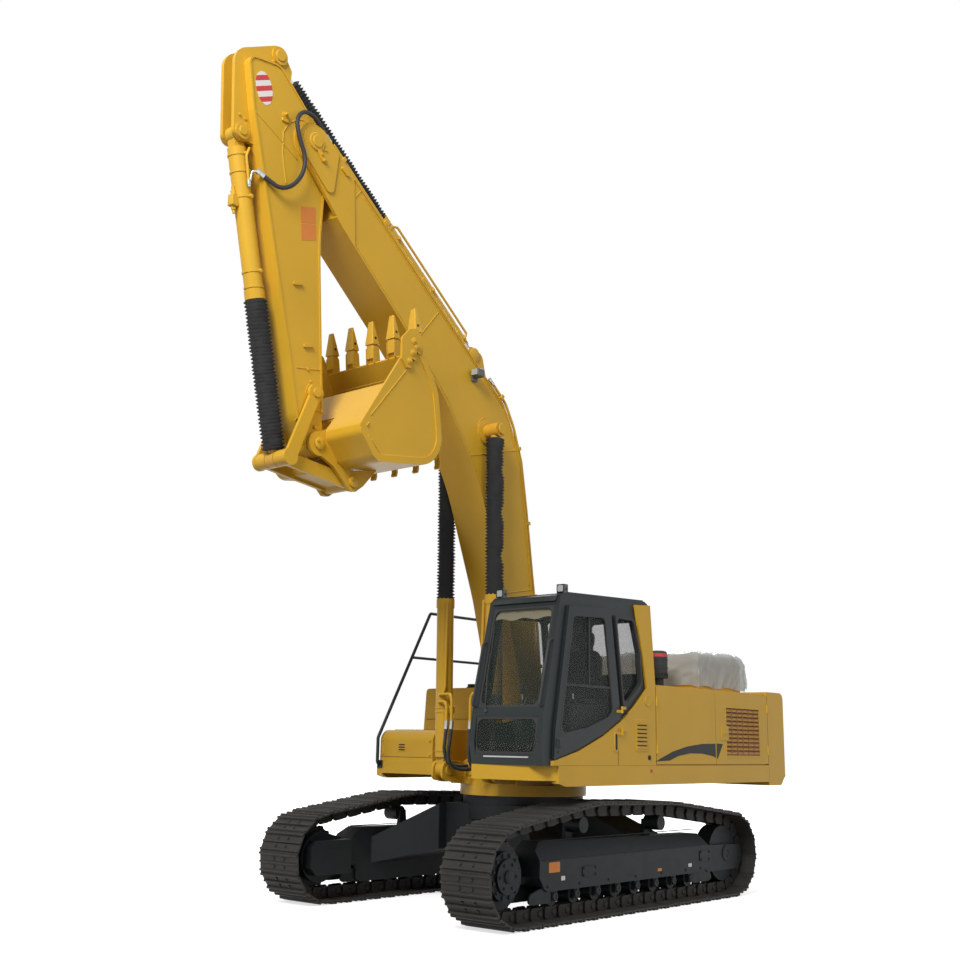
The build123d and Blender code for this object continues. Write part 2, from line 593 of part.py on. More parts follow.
with BuildPart() as rails:
    with BuildLine() as path:
        FilletPolyline((RIGHT_X, RAIL_Y, RAIL_LOW), (RAIL_FOOT, RAIL_Y, RAIL_LOW), (RAIL_FOOT, RAIL_Y, RAIL_LOW + 300),
                       (RAIL_TOP[0], RAIL_Y, RAIL_TOP[1]), (-1180, RAIL_Y, RAIL_TOP[1]), (-1180, RAIL_Y, TANK_Z + 40),
                       radius=40)
    with BuildSketch(Plane(origin=(RIGHT_X, RAIL_Y, RAIL_LOW), z_dir=(1, 0, 0))):
        Circle(RAIL_R)
    sweep(path=path.line)
    lean = (RAIL_FOOT - RAIL_TOP[0]) / (RAIL_TOP[1] - RAIL_LOW - 300)
    bar((RAIL_TOP[0] + lean * (RAIL_TOP[1] - RAIL_MID), RAIL_Y, RAIL_MID), (-1180, RAIL_Y, RAIL_MID), RAIL_R - 2)
rails.part.label = "handrail"
export_step(rails.part, "parts/handrail.step")

with BuildPart() as cleaner:
    with Locations((-1460, 900, HOOD_Z)):
        Cylinder(62, 200, align=(Align.CENTER, Align.CENTER, Align.MIN))
        with Locations((0, 0, 130)):
            Cylinder(112, 330, align=(Align.CENTER, Align.CENTER, Align.MIN))
    fillet(cleaner.edges().sort_by(Axis.Z)[-1], 40)
cleaner.part.label = "pre_cleaner"
export_step(cleaner.part, "parts/pre_cleaner.step")

with BuildPart() as lamps:
    for y in (CAB_Y[0] + 60, CAB_Y[1] - 60):
        side([(1080, roof_z(1080)), (1150, roof_z(1150)), (1150, 3300, 12), (1080, 3300, 12)], y - 45, y + 45)
lamps.part.label = "roof_lamps"
export_step(lamps.part, "parts/roof_lamps.step")

# boom
NECK = 430              # how far the fork reaches back from the arm's pin
with BuildPart() as boom:
    side(BOOM, -BOOM_W, BOOM_W)
    pair(BOOM, (BOOM_W - 12, BOOM_W + 5), mode=Mode.SUBTRACT, inset=16)
    across(NOSE, NECK, -ARM_W - GAP - 7, ARM_W + GAP + 7, mode=Mode.SUBTRACT)
    across(FOOT, 150, -BOOM_W, BOOM_W)
    across(BC_PIN, 150, -BOOM_W - 5, BOOM_W + 5)
    across(BC_PIN, 78, -BC_Y + 87, BC_Y - 87)
    pair([(3200, 7403), (3300, 7479), (3660, 7752), (3850, 7790, 180), (3975, 7600, 120), (3890, 7390, 100),
          (3560, 7040, 200), (3300, 6770), (3150, 6660)], (ARM_W + GAP + 7, BOOM_W))
    pair([(3440, 7560), (3660, 7735), (3930, 7740, 180), (3900, 7400, 170), (3500, 7040, 60)],
         (BOOM_W, BOOM_W + 18))
    pair([(800, 5500), (960, 6080, 100), (1180, 6150, 100), (1350, 5900)], CHEEK_Y)
    across(NOSE, 60.3, -BOOM_W - 25, BOOM_W + 25, mode=Mode.SUBTRACT)
    across(FOOT, 60.3, -BOOM_W - 5, BOOM_W + 5, mode=Mode.SUBTRACT)
    across(AC_BASE, 45, -CHEEK_Y[1], CHEEK_Y[1])
boom.part.label = "boom"
export_step(boom.part, "parts/boom.step")

# cylinders: base pin, eye pin, y places, barrel radius, rod radius, boot radius, barrel length,
# eye half width, base eye radius, pin radius, stroke, where the boot stops short of the eye
CYLS = [("boom_cylinder", BC_BASE, BC_PIN, (BC_Y, -BC_Y), 95, 52, 108, 1880, 84, 82, 40, 1400, 94),
        ("arm_cylinder", AC_BASE, AC_PIN, (0,), 102, 56, 116, 1900, CHEEK_Y[0] - GAP, 90, 45, 1440, 295),
        ("bucket_cylinder", KC_BASE, PD, (0,), 92, 50, 118, 1630, CHEEK_Y[0] - 7, 80, 42, 1110, 92)]
FOLDS = 7
for name, base, eye, ys, rb, rr, rf, lb, hw, re, rp, stroke, short in CYLS:
    ux, uz = (eye[0] - base[0]) / span(base, eye), (eye[1] - base[1]) / span(base, eye)
    full = span(base, eye)
    with BuildPart() as barrel:
        for y in ys:
            w = 52
            across(base, re, y - w, y + w)
            p0 = (base[0] + ux * (re + 58), y, base[1] + uz * (re + 58))
            p1 = (base[0] + ux * lb, y, base[1] + uz * lb)
            bar(p0, p1, rb)
            k = re * 0.72
            side([(base[0] - uz * k, base[1] + ux * k), (base[0] + uz * k, base[1] - ux * k),
                  (p0[0] + uz * k, p0[2] - ux * k), (p0[0] - uz * k, p0[2] + ux * k)], y - w, y + w)
            q0 = (base[0] + ux * (lb - 90), y, base[1] + uz * (lb - 90))
            bar(q0, p1, rb + 8)
            deep = lb - stroke - 190
            d0 = (base[0] + ux * deep, y, base[1] + uz * deep)
            d1 = (base[0] + ux * (lb + 5), y, base[1] + uz * (lb + 5))
            bar(d0, d1, rr + FIT, mode=Mode.SUBTRACT)
            across(base, rp + FIT, y - w - 5, y + w + 5, mode=Mode.SUBTRACT)
    barrel.part.label = name + "_barrel"
    export_step(barrel.part, "parts/" + name + "_barrel.step")
    with BuildPart() as rod:
        for y in ys:
            across(eye, re, y - hw, y + hw)
            s0 = lb - 150
            bar((base[0] + ux * s0, y, base[1] + uz * s0), (eye[0] - ux * re * 0.6, y, eye[1] - uz * re * 0.6), rr)
    rod.part.label = name + "_rod"
    export_step(rod.part, "parts/" + name + "_rod.step")
    with BuildPart() as bellows:
        s0, s1 = lb + 1, full - short
        for y in ys:
            pl = Plane(origin=(base[0] + ux * s0, y, base[1] + uz * s0), x_dir=(0, 1, 0), z_dir=(uz, 0, -ux))
            n = FOLDS
            pts = [(rr + 6, 0)]
            for k in range(n):
                a, b = (s1 - s0) * k / n, (s1 - s0) * (k + 1) / n
                pts += [(rf - 16, a), (rf, (a + b) / 2)]
            pts += [(rf - 16, s1 - s0), (rr + 6, s1 - s0)]
            with BuildSketch(pl) as s:
                with BuildLine():
                    Polyline(*pts, close=True)
                make_face()
            revolve(s.sketch, axis=Axis((base[0], y, base[1]), (ux, 0, uz)))
    bellows.part.label = name + "_bellows"
    export_step(bellows.part, "parts/" + name + "_bellows.step")
    print(name, "length", round(full), "barrel", lb)

with BuildPart() as arm:
    side(ARM, -ARM_W, ARM_W)
    pair(ARM, (ARM_W - 10, ARM_W + 5), mode=Mode.SUBTRACT, inset=20)
    across(NOSE, 235, -ARM_W, ARM_W)
    # brackets that hold both cylinders run round the top
    pair(ARM_TOP, CHEEK_Y)
    side(hull2(AC_PIN, 108, along(AC_PIN, AC_BASE, 700), 120), -CHEEK_Y[0], CHEEK_Y[0], mode=Mode.SUBTRACT)
    side(EYE_ROOM, -CHEEK_Y[0], CHEEK_Y[0], mode=Mode.SUBTRACT)
    for sgn in (1, -1):
        # narrowed towards the bucket pin
        y0, y1 = sorted((sgn * ARM_END_W, sgn * (ARM_W + 5)))
        across(PB, 330, y0, y1, mode=Mode.SUBTRACT)
        # caps over the pins of the cylinders
        y0, y1 = sorted((sgn * CHEEK_Y[0], sgn * (CHEEK_Y[1] + 22)))
        across(AC_PIN, 95, y0, y1)
        across(KC_BASE, 80, y0, y1)
    across(PB, 125, -ARM_END_W, ARM_END_W)
    across(PA, 100, -ARM_W, ARM_W)
    across(KC_BASE, 42, -CHEEK_Y[1], CHEEK_Y[1])
    across(NOSE, 60, -BOOM_W - 30, BOOM_W + 30)
    across(PA, 45.3, -ARM_W - 5, ARM_W + 5, mode=Mode.SUBTRACT)
    across(PB, 50.3, -ARM_W - 5, ARM_W + 5, mode=Mode.SUBTRACT)
arm.part.label = "arm"
export_step(arm.part, "parts/arm.step")


with BuildPart() as guide:
    for sgn in (1, -1):
        y0, y1 = sorted((sgn * LINK_Y[0], sgn * LINK_Y[1]))
        side(hull2(PA, 58, PD, 66), y0, y1)
        across(PA, 88, y0, y1)
        across(PD, 84, y0, y1)
    across(PA, 45, -LINK_Y[1] - 8, LINK_Y[1] + 8)
guide.part.label = "guide_links"
export_step(guide.part, "parts/guide_links.step")

with BuildPart() as hlink:
    pair(hull2(PD, 66, PC, 70), (ARM_END_W - 40, ARM_END_W))
    for sgn in (1, -1):
        y0, y1 = sorted((sgn * (CHEEK_Y[0] + 1), sgn * (LINK_Y[0] - SEAT)))
        across(PD, 80, y0, y1)
    across(PC, 80, -EAR_Y[0] + GAP, EAR_Y[0] - GAP)
    m0, m1 = along(PD, PC, span(PD, PC) * 0.45), along(PD, PC, span(PD, PC) * 0.92)
    side(hull2(m0, 45, m1, 45), -ARM_END_W + 20, ARM_END_W - 20)
hlink.part.label = "h_link"
export_step(hlink.part, "parts/h_link.step")

with BuildPart() as bucket:
    side(BUCKET, -BUCKET_W, BUCKET_W)
    # inside follows the curved back, open at the mouth
    w = BUCKET_W - BUCKET_T
    side(BUCKET, -w, w, mode=Mode.SUBTRACT, inset=BUCKET_T)
    side([(3370, 4700), (2860, 5400), (2625, 5570), (2500, 5720), (3000, 6000), (3800, 5000)], -w, w, mode=Mode.SUBTRACT)
    # dished between the lugs, where the arm comes down
    side([(3290, 4440), (3290, 4800), (3600, 4800), (3600, 4300), (3240, 4300)], -ARM_W - 10, ARM_W + 10,
         mode=Mode.SUBTRACT)
    side([(3130, 4300), (3232, 4330), (3300, 4460), (3300, 4640), (3272, 4640), (3272, 4470), (3215, 4360),
          (3130, 4330)], -ARM_W - 10, ARM_W + 10)
    pair([(3060, 4102), (3290, 4310, 200), (3450, 4383), (3590, 4500), (3490, 4622), (3400, 4660), (3280, 4640),
          (3240, 4340), (3020, 4315), (2700, 4378), (2880, 4180, 120), (2980, 4108)], EAR_Y)
    for sgn in (1, -1):
        y0, y1 = sorted((sgn * EAR_Y[0], sgn * EAR_Y[1]))
        across(PB, 122, y0, y1)
        across(PC, 98, y0, y1)
        y0, y1 = sorted((sgn * EAR_Y[1], sgn * (EAR_Y[1] + 14)))
        across(PC, 60, y0, y1)
        # rib under the wear strip of each side
        y0, y1 = sorted((sgn * BUCKET_W, sgn * (BUCKET_W + 14)))
        side([p if len(p) > 2 else p + (10,) for p in BUCKET], y0, y1)
        side([p if len(p) > 2 else p + (10,) for p in BUCKET], y0, y1, mode=Mode.SUBTRACT, inset=CHIN)
        side([(3300, 4500), (3800, 5000), (3300, 6000), (2500, 6000), (2540, 5560), (2700, 5480), (3330, 4640)],
             y0, y1, mode=Mode.SUBTRACT)
        # side cutter
        y0, y1 = sorted((sgn * BUCKET_W, sgn * (BUCKET_W + CUTTER_T)))
        side([(2900, 5420, 30), (2905, 5640, 60), (2800, 5750, 60), (2690, 5790, 40), (2625, 5690), (2610, 5620),
              (2650, 5520), (2690, 5545), (2700, 5440), (2755, 5455), (2760, 5350), (2830, 5340)], y0, y1)
    across(PB, 50, -EAR_Y[1] - 12, EAR_Y[1] + 12)
bucket.part.label = "bucket"
export_step(bucket.part, "parts/bucket.step")


def taper(p, d, a, b):
    """A tooth length: from section a at p to section b at p + d, each (width, height)."""
    q = (p[0] + d[0], p[1] + d[1])
    with BuildSketch(Plane(origin=(p[0], 0, p[1]), x_dir=(0, 1, 0), z_dir=(d[0], 0, d[1]))) as s0:
        RectangleRounded(a[0], a[1], 10)
    with BuildSketch(Plane(origin=(q[0], 0, q[1]), x_dir=(0, 1, 0), z_dir=(d[0], 0, d[1]))) as s1:
        RectangleRounded(b[0], b[1], 10)
    loft(sections=[s0.sketch, s1.sketch], ruled=True)


with BuildPart() as tooth:
    taper((2598, 5560), (26, 240), (112, 92), (96, 84))
    taper((2622, 5778), (30, 250), (122, 108), (64, 26))
    side(BUCKET, -BUCKET_W, BUCKET_W, mode=Mode.SUBTRACT)
with BuildPart() as teeth:
    for y in TEETH_Y:
        with Locations((0, y, 0)):
            add(tooth.part)
teeth.part.label = "bucket_teeth"
export_step(teeth.part, "parts/bucket_teeth.step")
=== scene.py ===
import bpy
import bmesh
import math
import random
from mathutils import Matrix, Vector


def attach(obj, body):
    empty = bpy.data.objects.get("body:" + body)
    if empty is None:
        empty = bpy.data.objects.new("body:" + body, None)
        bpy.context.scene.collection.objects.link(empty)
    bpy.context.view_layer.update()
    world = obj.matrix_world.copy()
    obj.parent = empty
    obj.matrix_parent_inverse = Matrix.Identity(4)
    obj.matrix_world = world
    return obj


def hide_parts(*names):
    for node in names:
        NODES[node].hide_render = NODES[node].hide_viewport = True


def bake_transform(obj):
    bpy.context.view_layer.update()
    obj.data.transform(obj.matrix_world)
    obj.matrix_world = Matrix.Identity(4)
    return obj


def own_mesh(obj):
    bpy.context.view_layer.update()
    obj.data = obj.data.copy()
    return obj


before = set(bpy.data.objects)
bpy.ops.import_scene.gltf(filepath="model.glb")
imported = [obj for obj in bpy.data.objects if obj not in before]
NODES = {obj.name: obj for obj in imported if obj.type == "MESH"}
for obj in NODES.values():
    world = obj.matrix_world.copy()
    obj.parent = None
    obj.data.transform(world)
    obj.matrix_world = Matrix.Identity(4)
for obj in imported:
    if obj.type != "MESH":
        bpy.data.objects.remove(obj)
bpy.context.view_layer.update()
SCENE = bpy.context.scene


def put(name, data):
    """A new object in the scene that shows this data."""
    obj = bpy.data.objects.new(name, data)
    SCENE.collection.objects.link(obj)
    return obj


def feed(tree, *pairs):
    """Gives each socket its number, colour or link."""
    for src, socket in pairs:
        if isinstance(src, (int, float, tuple)):
            socket.default_value = src
        else:
            tree.links.new(src, socket)


def calc(tree, how, *values, clamp=False):
    """A math node fed by numbers or sockets."""
    m = tree.nodes.new("ShaderNodeMath")
    m.operation = how
    m.use_clamp = clamp
    feed(tree, *zip(values, m.inputs))
    return m.outputs[0]


# camera, light and floor
CAM_PLACE = Vector((11.071, 8.836, 1.668))
CAM_YAW, CAM_PITCH, CAM_ROLL = 3.854, 0.216, 0.017
FOCAL_MM, SENSOR_MM = 45.22, 36


def add_camera():
    ahead = Vector((math.cos(CAM_YAW) * math.cos(CAM_PITCH), math.sin(CAM_YAW) * math.cos(CAM_PITCH),
                    math.sin(CAM_PITCH)))
    right = Vector((math.sin(CAM_YAW), -math.cos(CAM_YAW), 0))
    up = right.cross(ahead)
    r = right * math.cos(CAM_ROLL) + up * math.sin(CAM_ROLL)
    u = up * math.cos(CAM_ROLL) - right * math.sin(CAM_ROLL)
    data = bpy.data.cameras.new("camera")
    data.lens = FOCAL_MM
    data.sensor_width = SENSOR_MM
    data.clip_end = 300
    cam = put("camera", data)
    cam.matrix_world = Matrix(((r.x, u.x, -ahead.x, CAM_PLACE.x), (r.y, u.y, -ahead.y, CAM_PLACE.y),
                               (r.z, u.z, -ahead.z, CAM_PLACE.z), (0, 0, 0, 1)))
    SCENE.camera = cam


def white_to_camera(tree, white, dim):
    """Shows the white shader to camera, transmitted and glossy rays, and the dim one to all others."""
    path = tree.nodes.new("ShaderNodeLightPath").outputs
    direct = calc(tree, "MAXIMUM", path["Is Camera Ray"], path["Is Transmission Ray"])
    mix = tree.nodes.new("ShaderNodeMixShader")
    feed(tree, *zip((calc(tree, "MAXIMUM", direct, path["Is Glossy Ray"]), dim, white), mix.inputs))
    return mix.outputs[0]


def add_world():
    world = bpy.data.worlds.new("studio")
    SCENE.world = world
    world.use_nodes = True
    tree = world.node_tree
    tree.nodes.clear()
    out = tree.nodes.new("ShaderNodeOutputWorld")
    seen, light = tree.nodes.new("ShaderNodeBackground"), tree.nodes.new("ShaderNodeBackground")
    feed(tree, *zip(((1, 1, 1, 1), 1.0), seen.inputs), *zip(((0.95, 0.98, 1, 1), 0.4), light.inputs))
    tree.links.new(white_to_camera(tree, seen.outputs[0], light.outputs[0]), out.inputs[0])


def add_lamp(name, place, target, size, power, colour=(1, 1, 1)):
    data = bpy.data.lights.new(name, "AREA")
    data.energy = power
    data.size = size
    data.color = colour
    lamp = put(name, data)
    lamp.location = place
    lamp.rotation_euler = (Vector(target) - Vector(place)).to_track_quat("-Z", "Y").to_euler()


def add_floor():
    me = bpy.data.meshes.new("floor")
    s = 60
    me.from_pydata([(-s, -s, 0), (s, -s, 0), (s, s, 0), (-s, s, 0)], [], [(0, 1, 2, 3)])
    floor = put("floor", me)
    mat = bpy.data.materials.new("floor_white")
    mat.use_nodes = True
    tree = mat.node_tree
    nodes = tree.nodes
    bsdf = nodes["Principled BSDF"]
    # less light comes back up from the floor than the camera sees on it
    duller, glow = nodes.new("ShaderNodeBsdfDiffuse"), nodes.new("ShaderNodeEmission")
    away = nodes.new("ShaderNodeVectorMath")
    away.operation = "LENGTH"
    reach = nodes.new("ShaderNodeMapRange")
    both = nodes.new("ShaderNodeAddShader")
    feed(tree, ((0.62, 0.62, 0.62, 1), bsdf.inputs["Base Color"]), (0.9, bsdf.inputs["Roughness"]),
         ((0.3, 0.29, 0.27, 1), duller.inputs[0]), ((1, 1, 1, 1), glow.inputs[0]),
         (nodes.new("ShaderNodeTexCoord").outputs["Object"], away.inputs[0]),
         (3.0, reach.inputs["From Min"]), (11.0, reach.inputs["From Max"]), (0.66, reach.inputs["To Min"]),
         (1.1, reach.inputs["To Max"]), (away.outputs["Value"], reach.inputs["Value"]),
         (reach.outputs["Result"], glow.inputs[1]), (bsdf.outputs[0], both.inputs[0]),
         (glow.outputs[0], both.inputs[1]))
    tree.links.new(white_to_camera(tree, both.outputs[0], duller.outputs[0]), nodes["Material Output"].inputs[0])
    me.materials.append(mat)


add_camera()
add_world()
add_floor()
add_lamp("key", (15, 5, 14), (1, 0, 3), 6, 2900, (1, 0.985, 0.96))
add_lamp("fill", (4, 16, 6), (0, 0, 3), 8, 420, (0.96, 0.98, 1))
add_lamp("back", (-12, -6, 12), (0, 0, 3), 8, 900)
SCENE.view_settings.view_transform = "Standard"


# finishes
def group(name, inputs, outputs):
    tree = bpy.data.node_groups.new(name, "ShaderNodeTree")
    for label, kind, value in inputs:
        s = tree.interface.new_socket(label, in_out="INPUT", socket_type=kind)
        s.default_value = value
    for label, kind in outputs:
        tree.interface.new_socket(label, in_out="OUTPUT", socket_type=kind)
    return tree, tree.nodes.new("NodeGroupInput"), tree.nodes.new("NodeGroupOutput")


def mix_colour(tree, fac, a, b):
    m = tree.nodes.new("ShaderNodeMix")
    m.data_type = "RGBA"
    feed(tree, (fac, m.inputs[0]), (a, m.inputs[6]), (b, m.inputs[7]))
    return m.outputs[2]


def mix_value(tree, fac, a, b):
    m = tree.nodes.new("ShaderNodeMix")
    feed(tree, (fac, m.inputs[0]), (a, m.inputs[2]), (b, m.inputs[3]))
    return m.outputs[0]


def noise(tree, vector, scale, detail=4.0, rough=0.55):
    n = tree.nodes.new("ShaderNodeTexNoise")
    feed(tree, (scale, n.inputs["Scale"]), (detail, n.inputs["Detail"]), (rough, n.inputs["Roughness"]),
         (vector, n.inputs["Vector"]))
    return n.outputs["Fac"]


def ramp(tree, fac, low, high):
    r = tree.nodes.new("ShaderNodeMapRange")
    feed(tree, (low, r.inputs["From Min"]), (high, r.inputs["From Max"]), (fac, r.inputs["Value"]))
    return r.outputs["Result"]


def parts_of(tree, vector):
    p = tree.nodes.new("ShaderNodeSeparateXYZ")
    tree.links.new(vector, p.inputs[0])
    return p.outputs


def weather_group():
    """Slight shade changes, road dust gathering low down and a skin that isn't quite flat."""
    F, C = "NodeSocketFloat", "NodeSocketColor"
    tree, gin, gout = group("weather", [("Colour", C, (0.5, 0.5, 0.5, 1)), ("Dust Colour", C, (0.32, 0.28, 0.22, 1)),
                                        ("Dust", F, 0.2), ("Shade", F, 0.1), ("Grain", F, 40.0),
                                        ("Grain Depth", F, 0.1), ("Rough Low", F, 0.35), ("Rough High", F, 0.5)],
                            [("Colour", C), ("Roughness", F), ("Normal", "NodeSocketVector")])
    given, result, nodes = gin.outputs, gout.inputs, tree.nodes
    where = nodes.new("ShaderNodeTexCoord").outputs["Object"]
    spots = noise(tree, where, 9.0, 6, 0.65)
    centre = ramp(tree, noise(tree, where, 1.1, 3), 0.3, 0.7)
    shade = nodes.new("ShaderNodeHueSaturation")
    feed(tree, (calc(tree, "MULTIPLY_ADD", centre, given["Shade"], 0.95), shade.inputs["Value"]),
         (given["Colour"], shade.inputs["Color"]))
    low = ramp(tree, parts_of(tree, where)["Z"], 2.2, 0.0)
    top = ramp(tree, parts_of(tree, nodes.new("ShaderNodeNewGeometry").outputs["Normal"])["Z"], 0.2, 1.0)
    patch = calc(tree, "MULTIPLY", calc(tree, "ADD", low, top), ramp(tree, spots, 0.35, 0.75))
    amount = calc(tree, "MULTIPLY", patch, given["Dust"], clamp=True)
    fine = nodes.new("ShaderNodeTexNoise")
    bump = nodes.new("ShaderNodeBump")
    rough = mix_value(tree, spots, given["Rough Low"], given["Rough High"])
    feed(tree, (mix_colour(tree, amount, shade.outputs[0], given["Dust Colour"]), result["Colour"]),
         (where, fine.inputs["Vector"]), (given["Grain"], fine.inputs["Scale"]), (3, fine.inputs["Detail"]),
         (calc(tree, "MULTIPLY_ADD", amount, 0.35, rough, clamp=True), result["Roughness"]),
         (0.002, bump.inputs["Distance"]), (given["Grain Depth"], bump.inputs["Strength"]),
         (fine.outputs["Fac"], bump.inputs["Height"]), (bump.outputs[0], result["Normal"]))
    return tree


WEATHER = weather_group()


def finish(name, colour, dust=0.2, shade=0.1, grain=40, depth=0.1, rough=(0.35, 0.5), metal=0.0, coat=0.0,
           dust_colour=(0.3, 0.27, 0.22), gloss=0.35):
    mat = bpy.data.materials.new(name)
    mat.use_nodes = True
    tree = mat.node_tree
    surface = tree.nodes["Principled BSDF"].inputs
    g = tree.nodes.new("ShaderNodeGroup")
    g.node_tree = WEATHER
    looks = {"Colour": (*colour, 1), "Dust Colour": (*dust_colour, 1), "Dust": dust, "Shade": shade, "Grain": grain,
             "Grain Depth": depth, "Rough Low": rough[0], "Rough High": rough[1]}
    feed(tree, *((value, g.inputs[label]) for label, value in looks.items()),
         (g.outputs["Colour"], surface["Base Color"]), (g.outputs["Roughness"], surface["Roughness"]),
         (g.outputs["Normal"], surface["Normal"]), (metal, surface["Metallic"]), (coat, surface["Coat Weight"]),
         (0.12, surface["Coat Roughness"]), (gloss, surface["Specular IOR Level"]))
    return mat


def glass_finish(name, colour, alpha):
    mat = finish(name, colour, dust=0.06, shade=0.03, grain=3, depth=0.02, rough=(0.03, 0.08))
    bsdf = mat.node_tree.nodes["Principled BSDF"]
    bsdf.inputs["Alpha"].default_value = alpha
    bsdf.inputs["Specular IOR Level"].default_value = 0.32
    return mat


YELLOW = finish("yellow_paint", (0.6, 0.345, 0.026), dust=0.07, shade=0.1, grain=22, depth=0.06,
                rough=(0.32, 0.46), coat=0.04, gloss=0.22, dust_colour=(0.34, 0.24, 0.1))
CHARCOAL = finish("charcoal_paint", (0.011, 0.016, 0.017), dust=0.04, shade=0.12, grain=60, depth=0.08,
                  rough=(0.36, 0.5), gloss=0.3, dust_colour=(0.1, 0.095, 0.085))
BLACK = finish("black_paint", (0.008, 0.01, 0.011), dust=0.1, shade=0.15, grain=45, depth=0.18,
               rough=(0.42, 0.64), gloss=0.22, dust_colour=(0.05, 0.047, 0.042))
CHAIN = finish("chain_steel", (0.016, 0.015, 0.014), dust=0.2, shade=0.3, grain=60, depth=0.4, rough=(0.45, 0.7),
               metal=0.2, gloss=0.25, dust_colour=(0.05, 0.045, 0.038))
SHOE = finish("shoe_steel", (0.026, 0.025, 0.024), dust=0.2, shade=0.25, grain=70, depth=0.45, rough=(0.42, 0.68),
              metal=0.35, gloss=0.3, dust_colour=(0.08, 0.072, 0.06))
CHROME = finish("ground_chrome", (0.7, 0.71, 0.72), dust=0.05, shade=0.03, grain=200, depth=0.02,
                rough=(0.08, 0.16), metal=1.0)
BOOT = finish("boot_cloth", (0.018, 0.018, 0.019), dust=0.1, shade=0.3, grain=260, depth=0.9, rough=(0.75, 0.95),
              dust_colour=(0.09, 0.085, 0.075))
RUBBER = finish("hose_rubber", (0.022, 0.022, 0.023), dust=0.12, shade=0.15, grain=180, depth=0.3,
                rough=(0.5, 0.7), dust_colour=(0.09, 0.085, 0.075))
TRIM = finish("cab_trim", (0.03, 0.033, 0.034), dust=0.05, shade=0.1, grain=300, depth=0.4, rough=(0.55, 0.75))
LAMP = finish("lamp_body", (0.1, 0.105, 0.11), dust=0.05, shade=0.05, grain=80, depth=0.1, rough=(0.3, 0.45))
CAST = finish("cast_grey", (0.12, 0.12, 0.125), dust=0.2, shade=0.2, grain=90, depth=0.5, rough=(0.5, 0.7),
              metal=0.3)
GLASS = glass_finish("tinted_glass", (0.03, 0.044, 0.034), 0.24)

LOOKS = {
    YELLOW: ["main_frame", "counterweight", "engine_bay", "tanks", "toolbox", "cab_side_panel", "door_left_front",
             "door_left_rear", "door_right_rear", "engine_hood", "boom", "boom_cylinder_barrel", "arm",
             "arm_cylinder_barrel", "bucket", "bucket_teeth", "bucket_cylinder_barrel", "guide_links", "h_link"],
    CHARCOAL: ["cab_shell", "cab_door", "handrail"],
    BLACK: ["car_body", "slew_ring_lower", "track_frame_left", "track_frame_right", "sprockets", "idlers",
            "bottom_rollers", "carrier_rollers", "travel_motor_guards"],
    SHOE: ["track_left", "track_right"],
    CHROME: ["boom_cylinder_rod", "arm_cylinder_rod", "bucket_cylinder_rod"],
    BOOT: ["boom_cylinder_bellows", "arm_cylinder_bellows", "bucket_cylinder_bellows"],
    GLASS: ["windscreen", "cab_glass", "door_glass"],
    TRIM: ["cab_interior"],
    LAMP: ["roof_lamps"],
    CAST: ["engine_block", "cooler"],
    RUBBER: ["pre_cleaner"],
}
for mat, names in LOOKS.items():
    for n in names:
        NODES[n].data.materials.clear()
        NODES[n].data.materials.append(mat)


# building helpers; a piece is built in place, and side-view points are (x, z)
def new_object(name, bm, mat):
    me = bpy.data.meshes.new(name)
    bm.to_mesh(me)
    bm.free()
    me.materials.append(mat)
    me.polygons.foreach_set("use_smooth", [True] * len(me.polygons))
    return put(name, me)


def piece(name, bm, mat, body, angle=35):
    bmesh.ops.remove_doubles(bm, verts=bm.verts, dist=1e-5)
    bmesh.ops.recalc_face_normals(bm, faces=bm.faces)
    obj = new_object(name, bm, mat)
    obj.data.set_sharp_from_angle(angle=math.radians(angle))
    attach(obj, body)
    return obj


def plain(obj):
    """The evaluated shape as a mesh of its own, with no modifier left."""
    me = bpy.data.meshes.new_from_object(obj.evaluated_get(bpy.context.evaluated_depsgraph_get()))
    name, mats = obj.name, list(obj.data.materials)
    bpy.data.objects.remove(obj)
    me.name = name
    out = put(name, me)
    if not len(me.materials):
        for m in mats:
            me.materials.append(m)
    return out


def rounded(pts, n=5):
    """Corner points; a third number rounds that corner."""
    out = []
    for i, p in enumerate(pts):
        if len(p) < 3:
            out.append((p[0], p[1]))
            continue
        c = Vector(p[:2])
        a, b = Vector(pts[i - 1][:2]) - c, Vector(pts[(i + 1) % len(pts)][:2]) - c
        half = a.angle(b) / 2
        t = min(p[2] / math.tan(half), a.length * 0.49, b.length * 0.49)
        r = t * math.tan(half)
        mid = c + (a.normalized() + b.normalized()).normalized() * (r / math.sin(half))
        s, e = c + a.normalized() * t - mid, c + b.normalized() * t - mid
        turn = s.angle_signed(e)
        for k in range(n + 1):
            ang = -turn * k / n
            out.append((mid.x + s.x * math.cos(ang) - s.y * math.sin(ang),
                        mid.y + s.x * math.sin(ang) + s.y * math.cos(ang)))
    return out


def skin(bm, rings, ends=True):
    """Faces between successive rings of points, and over both ends."""
    for a, b in zip(rings, rings[1:]):
        for k in range(len(a)):
            bm.faces.new((a[k - 1], a[k], b[k], b[k - 1]))
    if ends:
        bm.faces.new(rings[0])
        bm.faces.new(rings[-1])


WAYS = {"Y": lambda p, w: (p[0], w, p[1]), "X": lambda p, w: (w, p[0], p[1]), "Z": lambda p, w: (p[0], p[1], w)}


